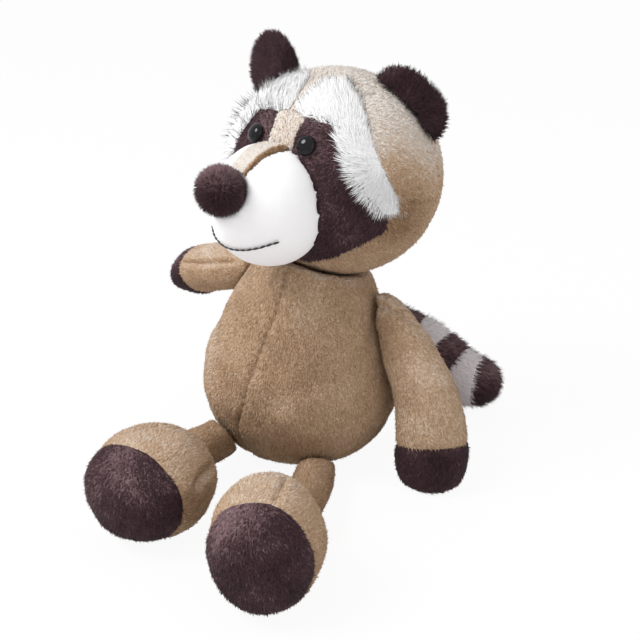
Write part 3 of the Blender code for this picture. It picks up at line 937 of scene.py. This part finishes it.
def settle_on_head(piece, skin, level):
    """Lays all points that are further out than skin at one level over the head's ball."""
    def lay(place, normal):
        away, out = head_level(head_local(place))
        if away < skin:
            return Vector((0, 0, 0))
        return head_direction(*(out * (level - away)))

    move_points(piece, lay)


TORSO_FRONT = [(0.0124, -0.0258, 0.1083), (0.0126, -0.0297, 0.1004), (0.0118, -0.0338, 0.0914),
               (0.0103, -0.0370, 0.0839), (0.0071, -0.0430, 0.0685), (0.0035, -0.0470, 0.0552),
               (0.0013, -0.0496, 0.0413), (-0.0043, -0.0477, 0.0273), (-0.0050, -0.0440, 0.0120),
               (-0.0050, -0.0350, 0.0020)]
TORSO_BACK = [(0.009, 0.036, 0.108), (0.008, 0.046, 0.090), (0.006, 0.053, 0.065), (0.004, 0.055, 0.052)]
# Marks on the torso: brushed patches of its nap, painted lighter and darker as painted sheen where the nap
# catches the light
TORSO_MARKS = [((0.0222, -0.0455, 0.0479), 0.0060, 0.22), ((0.0466, -0.0255, 0.0506), 0.0060, 0.14),
               ((0.0257, -0.0283, 0.0926), 0.0100, 0.10), ((0.0300, -0.0400, 0.0650), 0.0140, -0.10),
               ((0.0100, -0.0500, 0.0330), 0.0120, -0.06), ((0.0471, -0.0209, 0.0213), 0.0080, 0.10)]


# The cloth simulation leaves the seat below the first height and the neck above the second as they are
TORSO_HELD = (0.004, 0.098)


# Painted light towards -x and on surfaces that face up, painted shade low on the belly, and the marks
def torso_shade(place, normal):
    return (0.36 + 0.20 * rise(-place.x, 0.000, 0.045) + 0.22 * rise(normal.z, 0.3, 0.95)
            - 0.12 * rise(-place.z, -0.040, -0.010) + brushed(TORSO_MARKS, place))


def make_torso():
    toy = settings()
    dress([("torso", "taupe", toy.short_pile, Vector((0, 0, -1)), torso_shade)], 0.85, voxel=toy.sizes.voxel,
          smoothing=6, depth=0.0012, seams=[(TORSO_FRONT, 1.0, 0.8), (TORSO_BACK, 1.0, 0.8)],
          swollen=lambda place: 1.0 if place.z < TORSO_HELD[0] or place.z > TORSO_HELD[1] else 0.0,
          dents=0.0012, seed=1)


HEAD_SEAMS = [
    ([(0.0309, -0.0003, 0.1937), (0.0335, 0.0069, 0.1950), (0.0394, 0.0113, 0.1935)], 0.9, 0.5),
    ([(0.0376, -0.0028, 0.1905), (0.0401, 0.0019, 0.1912), (0.0423, 0.0070, 0.1914)], 0.9, 0.5),
    ([(0.0667, 0.0214, 0.1644), (0.0700, 0.0197, 0.1462), (0.0625, 0.0251, 0.1249)], 0.9, 0.8),
    ([(0.0672, -0.0032, 0.1458), (0.0697, 0.0051, 0.1449), (0.0700, 0.0171, 0.1420)], 0.7, 0.6),
    ([(0.0165, 0.0400, 0.1930), (0.0170, 0.0610, 0.1600), (0.0170, 0.0580, 0.1250), (0.0165, 0.0450, 0.1060)],
     1.0, 0.8),
]
# Darker marks on the head's side: the golden-brown band beside the brow, and painted shade low on that side
HEAD_MARKS = [((0.0600, -0.0050, 0.1350), 0.0140, -0.20), ((0.0520, -0.0100, 0.1620), 0.0120, -0.16),
              ((0.0610, -0.0040, 0.1480), 0.0170, -0.30)]
# What counts as the head's own form, where one panel's pile meets the next
FACE = {"head", "mask_patch_left", "mask_patch_right", "brow_patch_left", "brow_patch_right"}


# The head is painted lighter towards its top, as light from above
def head_shade(place, normal):
    return 0.38 + 0.60 * rise(place.z, 0.120, 0.196) + brushed(HEAD_MARKS, place)


# Everything on the head that stands out further than this is laid over its ball
HEAD_SKIN = -0.0012


def face_panel(node, name, voxel, level):
    """A panel of the head, laid over the head's ball at a level."""
    panel = solid_copy(node, name + "_cloth")
    remesh(panel, voxel, 2)
    settle_on_head(panel, HEAD_SKIN, level)
    return panel


def make_head():
    toy = settings()
    head = face_panel("head", "head", 0.0024, HEAD_SKIN)
    paths = []
    for corners, deep, wide in HEAD_SEAMS:
        paths.append(seam_on(head, corners))
        sew(head, paths[-1], deep, wide, 0.5)
    brush(head, "head", "head", FACE, "taupe", toy.short_pile,
          lambda place, normal: head_direction(0.25, 0.7, -0.7), head_shade, fill=0.9, seams=paths, seed=2)
    for side, hand in SIDES:
        node = "mask_patch_" + hand
        mask = face_panel(node, f"mask_{hand}", toy.sizes.fine_voxel, -0.0010)
        brush(mask, f"mask_{hand}", node, FACE, "dark", toy.dark_pile,
              lambda place, normal, side=side: head_direction(-0.6 * side, 0.3, -0.7),
              mask_shade, mask_growth, prepare=lambda panel, side=side: clear_round_eye(panel, side), seed=3)
        node = "brow_patch_" + hand
        rows = BROW_FLOW[hand]
        brow = face_panel(node, f"brow_{hand}", toy.sizes.fine_voxel, -0.0008)
        brush(brow, f"brow_{hand}", node, FACE, "white", toy.brow_pile,
              lambda place, normal, rows=rows: brow_nap(rows, place), 0.9,
              lambda place, normal, rows=rows: brow_flow(rows, place)[2],
              bend=0.25, segments=2, seed=4, evenness=0.9)


# The mask is painted lighter towards its top, as light from above
def mask_shade(place, normal):
    return 0.32 + 0.24 * rise(place.z, 0.140, 0.182)


def mask_growth(place, normal):
    """The pile is clipped short where it meets the muzzle."""
    return 0.30 + 0.70 * rise(NODE_SURFACES["muzzle"][1].find_nearest(place)[3], 0.0015, 0.0050)


def clear_round_eye(mask, side):
    """Leaves the pile out right beside the eye, where it would lie over the dome."""
    place = eye_frame(side).translation
    cover = mask.data.attributes["cover"].data
    for vertex, item in zip(mask.data.vertices, cover):
        if (vertex.co - place).length < EYE_RADIUS + 0.0006:
            item.value = 0.0


# How each brow's pile is brushed: across and up on the face, the way it points there, and its length
BROW_FLOW = {
    "left": [
        (0.005, 0.036, -0.5, 0.85, 0.5), (0.01, 0.041, -0.4, 0.9, 0.62),
        (0.016, 0.043, -0.2, 1.0, 0.7), (0.024, 0.04, 0.1, 1.0, 0.5),
        (0.014, 0.034, -0.5, 0.85, 0.5), (0.024, 0.034, -0.3, 0.95, 0.5),
        (0.033, 0.031, 0.0, 1.0, 0.4), (0.027, 0.028, -0.7, 0.7, 0.45),
        (0.037, 0.024, -0.5, 0.6, 0.4), (0.029, 0.021, -1.0, 0.1, 0.7),
        (0.042, 0.018, -0.8, -0.1, 0.42), (0.036, 0.014, -0.95, -0.3, 0.7),
        (0.047, 0.01, -0.4, -0.7, 0.42), (0.04, 0.006, -0.8, -0.6, 0.55),
        (0.05, 0.002, 0.1, -0.9, 0.42), (0.046, -0.001, -0.5, -0.85, 0.45),
        (0.051, -0.005, 0.25, -1.0, 0.36)
    ],
    "right": [
        (-0.004, 0.044, 0.05, 1.0, 0.5), (-0.003, 0.038, -0.1, 1.0, 0.45),
        (-0.003, 0.035, -0.3, 1.0, 0.4), (-0.011, 0.041, -0.05, 1.0, 0.65),
        (-0.011, 0.034, -0.3, 1.0, 0.55), (-0.02, 0.038, -0.3, 0.9, 0.65),
        (-0.022, 0.03, -0.5, 0.8, 0.65), (-0.03, 0.031, -0.5, 0.8, 0.85),
        (-0.032, 0.024, -0.8, 0.6, 0.85), (-0.038, 0.022, -0.85, 0.5, 1.05),
        (-0.037, 0.014, -1.0, 0.1, 0.95), (-0.043, 0.012, -1.0, 0.1, 1.15),
        (-0.038, 0.008, -1.0, -0.3, 1.0), (-0.044, 0.003, -0.9, -0.6, 1.0),
        (-0.046, -0.002, -0.6, -1.0, 0.9)
    ],
}


def brow_flow(rows, place):
    """The brushing at a place, blended from the nearest of the rows."""
    local = head_local(place)
    total, blend = 0.0, Vector((0, 0, 0))
    for x, z, way_x, way_z, grown in rows:
        weight = ((local.x - x) ** 2 + (local.z - z) ** 2 + 2e-6) ** -2
        total += weight
        blend += weight * Vector((way_x, way_z, grown))
    return blend / total


def brow_nap(rows, place):
    across, up, _ = brow_flow(rows, place)
    return head_direction(across, 0.1, up)


def strip_nap(place, normal):
    """The strip's pile lies flat towards the nose, and stands out over its left edge as a fringe."""
    edge = rise(head_local(place).x, 0.0025, 0.0050)
    return head_direction(0.9 * edge, -1.0 + 0.6 * edge, -0.8 * edge)


def strip_shade(place, normal):
    return 0.95 - 0.95 * rise(head_local(place).x, 0.0025, 0.0050)


def strip_growth(place, normal):
    return 0.55 + 0.65 * rise(head_local(place).x, 0.0025, 0.0050)


def make_muzzle():
    muzzle = remesh(solid_copy("muzzle", "muzzle_cloth"), 0.0018, 8)
    finish_piece(muzzle, cloths()["muzzle_velour"], ["muzzle"])
    dress([("bridge_strip", "taupe", settings().short_pile, strip_nap, strip_shade)], None, voxel=0.0009,
          smoothing=2, depth=0.0006, grow=strip_growth, seed=5)


def make_nose():
    nose = subdivide(solid_copy("nose_ball", "nose_cloth"))
    inset(nose, 0.0016)
    # The nose is painted lighter where it faces up, as light from above
    brush(nose, "nose", "nose_ball", {"nose_ball"}, "dark", settings().nose_pile, Vector((0, 0, -1)),
          lambda place, normal: 0.42 + 0.34 * rise(normal.z, -0.2, 0.9), fill=0.9, seed=6)


# Each eye: where its shank meets the head's skin and the way it faces, in the head's axes
EYE_PLACE = (0.0152, -0.04177, 0.0195)
EYE_FACING = (0.2476, -0.8955, 0.3699)
EYE_RADIUS, EYE_DOME, EYE_SEAT = 0.0046, 0.0032, 0.0003
SHANK_RADIUS, SHANK_LENGTH = 0.0014, 0.0085


def eye_frame(side):
    facing = head_direction(side * EYE_FACING[0], *EYE_FACING[1:])
    place = HEAD_POSE @ Vector((side * EYE_PLACE[0], *EYE_PLACE[1:]))
    return Matrix.Translation(place) @ facing.to_track_quat("Z", "Y").to_matrix().to_4x4()


def turned(name, profile, matrix, around=48):
    """A closed form turned round the Z axis from (radius, height) points, the first and last on the axis."""
    data = bpy.data.meshes.new(name)
    rings = profile[1:-1]
    places = [Vector((0, 0, profile[0][1]))]
    for radius, height in rings:
        places += [Vector((radius * math.cos(turn), radius * math.sin(turn), height))
                   for turn in (math.tau * index / around for index in range(around))]
    places.append(Vector((0, 0, profile[-1][1])))
    faces = []
    for index in range(around):
        after = (index + 1) % around
        faces.append((0, 1 + index, 1 + after))
        for ring in range(len(rings) - 1):
            low, high = 1 + ring * around, 1 + (ring + 1) * around
            faces.append((low + index, high + index, high + after, low + after))
        last = 1 + (len(rings) - 1) * around
        faces.append((last + index, len(places) - 1, last + after))
    data.from_pydata([matrix @ place for place in places], [], faces)
    return new_object(name, data)


def make_eyes():
    gloss = plastic_material("eye_gloss", settings().colours.eye, 0.05, shine=0.26)
    washer = plastic_material("washer_plastic_grain", settings().colours.washer, 0.4)
    rim = 0.0008
    profile = [(0.0, EYE_SEAT + EYE_DOME)]
    for step in range(1, 12):
        angle = math.radians(90 - 7.6 * step)
        profile.append((EYE_RADIUS * 0.97 * math.cos(angle),
                        EYE_SEAT + rim + (EYE_DOME - rim) * math.sin(angle)))
    profile += [(EYE_RADIUS * 0.985, EYE_SEAT + rim), (EYE_RADIUS, EYE_SEAT + rim * 0.75),
                (EYE_RADIUS, EYE_SEAT + rim * 0.25), (EYE_RADIUS * 0.985, EYE_SEAT), (SHANK_RADIUS, EYE_SEAT),
                (SHANK_RADIUS, EYE_SEAT - SHANK_LENGTH), (0.0, EYE_SEAT - SHANK_LENGTH)]
    for side, hand in SIDES:
        eye = turned(f"eye_{hand}_dome", profile, eye_frame(side))
        finish_piece(eye, gloss, ["eye_" + hand])
        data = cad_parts["eye_washer_" + hand].data
        data.materials.clear()
        data.materials.append(washer)


MOUTH = [(-0.01323, -0.04624, 0.13465), (-0.00750, -0.05260, 0.13173), (-0.00136, -0.05640, 0.12990),
         (0.00506, -0.05844, 0.12922), (0.01182, -0.05840, 0.12967), (0.01887, -0.05658, 0.13127),
         (0.02632, -0.05223, 0.13395)]


def stitch_tree():
    """Geometry Nodes that lay slightly slanted stitches, end to end, along a line on the cloth."""
    net, given = new_tree("mouth_stitches", {"Stitch Length": "Float", "Thread Radius": "Float"})
    line = net.add("GeometryNodeMeshToCurve", {}, {"Mesh": given["Geometry"]})
    points = net.add("GeometryNodeCurveToPoints", {"mode": "LENGTH"},
                     {"Curve": line, "Length": given["Stitch Length"]})
    turn = Value(net, points.socket.node.outputs["Rotation"])
    ball = net.add("GeometryNodeMeshUVSphere", {},
                   {"Segments": 10, "Rings": 8, "Radius": given["Thread Radius"]})
    reach = given["Stitch Length"] / given["Thread Radius"] * 0.56
    size = net.add("ShaderNodeCombineXYZ", {}, {0: 1.0, 1: 1.0, 2: reach})
    slant = net.add("FunctionNodeRandomValue", {"data_type": "FLOAT_VECTOR"},
                    {0: (-0.12, -0.12, 0.0), 1: (0.12, 0.12, 0.0), "Seed": given["Seed"]})
    slanted = net.add("FunctionNodeRotateRotation", {"rotation_space": "LOCAL"}, {0: turn, 1: slant})
    laid = net.add("GeometryNodeInstanceOnPoints", {},
                   {"Points": points, "Instance": ball, "Rotation": slanted, "Scale": size})
    mesh = net.add("GeometryNodeRealizeInstances", {}, {"Geometry": laid})
    return end_tree(net, mesh, given["Material"])


def make_mouth():
    sizes = settings().sizes
    line = seam_lines("mouth_stitches", [smooth_path(MOUTH, 0.0006)])
    set_inputs(line, stitch_tree(), {"Stitch Length": sizes.stitch, "Thread Radius": sizes.thread,
                                     "Seed": settings().seed,
                                     "Material": thread_material("mouth_twist", settings().colours.thread)})
    applied(line)
    finish_piece(line, None, ["mouth_stitch"])


EAR_ROOTS = {"left": (0.0290, 0.0034, 0.0283), "right": (-0.035, -0.004, 0.033)}
EAR_LEAN = (0.60, 0.05, 0.80)
EAR_HEIGHTS = {"left": 0.0265, "right": 0.0300}


def make_ears():
    for side, hand in SIDES:
        root = HEAD_POSE @ Vector(EAR_ROOTS[hand])
        up = head_direction(side * EAR_LEAN[0], *EAR_LEAN[1:]).normalized()
        front = head_direction(0, -1, 0)
        centre = root + up * EAR_HEIGHTS[hand] * 0.55

        def cup(panel, up=up, front=front, centre=centre):
            """Pushes the middle of the ear's front in, so that its rim stands out."""
            def push(place, normal):
                away = place - centre
                away -= front * away.dot(front)
                hollow = 1 - rise(away.length, 0.004, 0.015)
                return -front * 0.0022 * hollow * rise(normal.dot(front), 0.2, 0.9)

            move_points(panel, push)

        # The ear is lighter towards its tip and painted lighter where it faces up, as light from above
        def shade(place, normal, root=root, up=up, front=front):
            return 0.16 + 0.14 * rise((place - root).dot(up), 0.004, 0.024) + 0.10 * rise(normal.z, 0.3, 0.9)

        def nap(place, normal, root=root):
            return (place - root).normalized()

        dress([("ear_" + hand, "dark", settings().ear_pile, nap, shade)], 0.4,
              voxel=settings().sizes.fine_voxel, smoothing=2, depth=0.0006, dents=0.0006, seed=7, shape=cup)


ARM_LEFT_FOLD = [(0.0460, 0.0020, 0.0900), (0.0513, 0.0037, 0.0897), (0.0597, 0.0067, 0.0863),
                 (0.0657, 0.0114, 0.0806)]
ARM_RIGHT_SEAM = [(-0.0790, 0.0080, 0.0830), (-0.0732, 0.0052, 0.0850), (-0.0591, -0.0002, 0.0892),
                  (-0.0471, -0.0024, 0.0930), (-0.0372, -0.0024, 0.0962)]
# Marks on the arms: painted light above the left arm's fold and the right arm's seam, painted shade below
# them, and a lighter patch low on the left arm
ARM_MARKS = {
    "left": [((0.0540, 0.0040, 0.0960), 0.0080, 0.16), ((0.0560, 0.0010, 0.0840), 0.0080, -0.14),
             ((0.0650, 0.0000, 0.0720), 0.0120, -0.06), ((0.0800, -0.0080, 0.0380), 0.0180, 0.10)],
    "right": [((-0.0600, 0.0060, 0.0960), 0.0120, 0.10), ((-0.0650, 0.0000, 0.0780), 0.0120, -0.08)],
}


def make_arms():
    toy = settings()
    ways = {"left": Vector((0.45, -0.1, -0.9)), "right": Vector((-0.85, 0.4, -0.35))}
    seams = {"left": [(ARM_LEFT_FOLD, 1.3, 1.3)], "right": [(ARM_RIGHT_SEAM, 0.9, 0.8)]}
    for hand, along in ways.items():
        # Arms and hands are painted lighter where they face up, as light from above
        def arm_shade(place, normal, marks=ARM_MARKS[hand]):
            return 0.38 + 0.20 * rise(normal.z, 0.0, 0.9) + brushed(marks, place)

        def hand_shade(place, normal):
            return 0.30 + 0.22 * rise(normal.z, 0.0, 0.9)

        dress([("arm_" + hand, "taupe", toy.short_pile, along, arm_shade),
               ("hand_" + hand, "dark", toy.dark_pile, along, hand_shade)], 0.7,
              voxel=0.0034, smoothing=4, seams=seams[hand], swollen=lambda place: 0.0, dents=0.0009, seed=8)


FOOT_SEAMS = {
    "left": [([(0.0660, -0.1050, 0.0562), (0.0694, -0.1144, 0.0579), (0.0707, -0.1207, 0.0572)], 0.9, 0.7)],
    "right": [([(0.0123, -0.0847, 0.0326), (0.0161, -0.0963, 0.0349), (0.0174, -0.1024, 0.0335)], 1.6, 1.2)],
}
# Marks on the soles: painted light on the side of each sole that faces the lamps, and a little painted shade
# low towards +x on the left sole
SOLE_MARKS = {
    "left": [((0.0480, -0.1400, 0.0400), 0.0170, 0.32), ((0.0600, -0.1400, 0.0500), 0.0120, 0.12),
             ((0.0800, -0.1380, 0.0250), 0.0180, -0.06)],
    "right": [((-0.0300, -0.1250, 0.0300), 0.0160, 0.12), ((-0.0100, -0.1300, 0.0420), 0.0160, 0.10)],
}


def make_legs():
    toy = settings()
    for hand in ("left", "right"):
        # Legs, feet and soles are painted lighter where they face up, as light from above
        def leg_shade(place, normal):
            return 0.10 + 0.25 * rise(normal.z, 0.2, 1.0)

        def foot_shade(place, normal):
            return 0.28 + 0.28 * rise(normal.z, 0.0, 0.9)

        def sole_shade(place, normal, marks=SOLE_MARKS[hand]):
            return 0.34 + 0.20 * rise(normal.z, 0.0, 0.9) + brushed(marks, place)

        dress([("leg_" + hand, "taupe", toy.short_pile, Vector((0, 1, 0)), leg_shade)], 0.5,
              voxel=0.0024, smoothing=5, depth=0.0012, dents=0.0008, seed=10)
        dress([("foot_" + hand, "taupe", toy.short_pile, Vector((0, 1, -0.2)), foot_shade),
               ("sole_" + hand, "dark", toy.dark_pile, Vector((0.2, 0, -1)), sole_shade)], 0.8,
              voxel=0.0040, smoothing=4, seams=FOOT_SEAMS[hand], swollen=lambda place: 0.0,
              dents=0.0010, seed=11)


# The tail's rings in turn: their cloth and its tone on their undersides and on top, painted darker below as
# shade and lighter on top as light
TAIL_RINGS = (("lilac", 0.60, 1.0), ("dark", 0.34, 0.62))


def make_tail():
    parts = []
    for ring in range(1, 8):
        kind, low, high = TAIL_RINGS[ring % 2]

        def shade(place, normal, low=low, high=high):
            return low + (high - low) * rise(normal.z, -0.2, 0.9)

        parts.append((f"tail_ring_{ring}", kind, settings().tail_pile, Vector((0.9, 0.25, -0.35)), shade))
    dress(parts, 0.6, voxel=0.0030, smoothing=3, depth=0.0014, valley=0.0004, seed=14)


def look_at(piece, target):
    piece.rotation_euler = (Vector(target) - piece.location).to_track_quat("-Z", "Y").to_euler()


# Where the lamps stand, how wide they are, and the middle of the toy, which they face
KEY_PLACE, KEY_SIZE = (-0.55, -0.75, 1.15), 0.6
FILL_PLACE, FILL_SIZE = (0.95, -0.25, 0.45), 0.8
TOY_MIDDLE = (0.0, 0.0, 0.08)


def new_lamp(name, place, size, power):
    data = bpy.data.lights.new(name, "AREA")
    data.shape = "DISK"
    data.size = size
    data.energy = power
    lamp = new_object(name, data)
    lamp.location = place
    look_at(lamp, TOY_MIDDLE)


def make_stage():
    studio = settings().studio
    scene = bpy.context.scene
    scene.view_settings.view_transform = "Standard"
    camera = new_object("camera", bpy.data.cameras.new("camera"))
    camera.data.lens = studio.lens
    camera.data.clip_start = 0.01
    camera.location = studio.camera_place
    look_at(camera, studio.camera_target)
    scene.camera = camera

    data = bpy.data.meshes.new("floor")
    reach = studio.floor_reach
    data.from_pydata([(-reach, -reach, 0), (reach, -reach, 0), (reach, reach, 0), (-reach, reach, 0)], [],
                     [(0, 1, 2, 3)])
    floor = new_object("floor", data)
    paper, net, shader = new_material("floor_paper", {"Roughness": 0.9, "Specular IOR Level": 0.1})
    grain = net.noise(net.object_place(), 90.0, 2.0)
    darker = tuple(value * 0.99 for value in studio.floor)
    feed(net, shader, Base_Color=net.blend(grain, rgba(studio.floor), rgba(darker)))
    seen = net.add("ShaderNodeLightPath", {}, {}, "Is Camera Ray")
    glow = net.add("ShaderNodeEmission", {}, {"Color": (1, 1, 1, 1), "Strength": 1.0})
    mixed = net.add("ShaderNodeMixShader", {}, {0: seen * 0.93, 1: Value(net, shader.outputs[0]), 2: glow})
    net.tree.links.new(mixed.socket, net.tree.nodes["Material Output"].inputs["Surface"])
    data.materials.append(paper)

    world = bpy.data.worlds.new("studio")
    world.use_nodes = True
    scene.world = world
    net = Net(world.node_tree)
    seen = net.add("ShaderNodeLightPath", {}, {}, "Is Camera Ray")
    strength = studio.sky + seen * (1 - studio.sky)
    back = world.node_tree.nodes["Background"]
    back.inputs["Color"].default_value = (1, 1, 1, 1)
    net.tree.links.new(strength.socket, back.inputs["Strength"])
    new_lamp("key_lamp", KEY_PLACE, KEY_SIZE, studio.key_power)
    new_lamp("fill_lamp", FILL_PLACE, FILL_SIZE, studio.fill_power)


def operator(name, label, description, make):
    """An operator that makes one piece or group of pieces."""
    def execute(self, context):
        make()
        return {"FINISHED"}

    fields = {"bl_idname": "plush." + name, "bl_label": label, "__doc__": description, "execute": execute,
              "bl_options": {"REGISTER", "UNDO"}}
    return type("PLUSH_OT_" + name, (bpy.types.Operator,), fields)


OPERATORS = [
    operator("stage", "Set the Stage", "Sets the camera, the lamps and the floor.", make_stage),
    operator("torso", "Stuff the Torso", "Makes the torso with its centre seams.", make_torso),
    operator("head", "Stuff the Head", "Makes the head, its masks and its long brows.", make_head),
    operator("muzzle", "Sew the Muzzle", "Makes the muzzle and the bridge strip.", make_muzzle),
    operator("nose", "Sew the Nose", "Makes the pom-pom nose.", make_nose),
    operator("eyes", "Set the Eyes", "Makes the glossy eyes and colours their washers.", make_eyes),
    operator("mouth", "Stitch the Mouth", "Makes the mouth's stitches.", make_mouth),
    operator("ears", "Sew the Ears", "Makes the two ears.", make_ears),
    operator("arms", "Stuff the Arms", "Makes the arms and their hands.", make_arms),
    operator("legs", "Stuff the Legs", "Makes the legs, the feet and their soles.", make_legs),
    operator("tail", "Sew the Tail", "Makes the tail's seven rings.", make_tail),
]


class PLUSH_PT_raccoon(bpy.types.Panel):
    """Lists the steps that make the plush raccoon."""

    bl_label = "Plush Raccoon"
    bl_space_type = "VIEW_3D"
    bl_region_type = "UI"
    bl_category = "Plush"

    def draw(self, context):
        for step in OPERATORS:
            self.layout.operator(step.bl_idname)


CLASSES = [ShortPile, DarkPile, BrowPile, TailPile, NosePile, EarPile, TaupeTones, DarkTones, WhiteTones,
           LilacTones, PlushSizes, PlushColours, StudioSettings, PlushSettings, *OPERATORS, PLUSH_PT_raccoon]


def register():
    for item in CLASSES:
        bpy.utils.register_class(item)
    bpy.types.Scene.plush_raccoon = PointerProperty(type=PlushSettings)


def unregister():
    del bpy.types.Scene.plush_raccoon
    for item in reversed(CLASSES):
        bpy.utils.unregister_class(item)


def main():
    register()
    for step in OPERATORS:
        family, name = step.bl_idname.split(".")
        getattr(getattr(bpy.ops, family), name)()


if __name__ == "__main__":
    main()
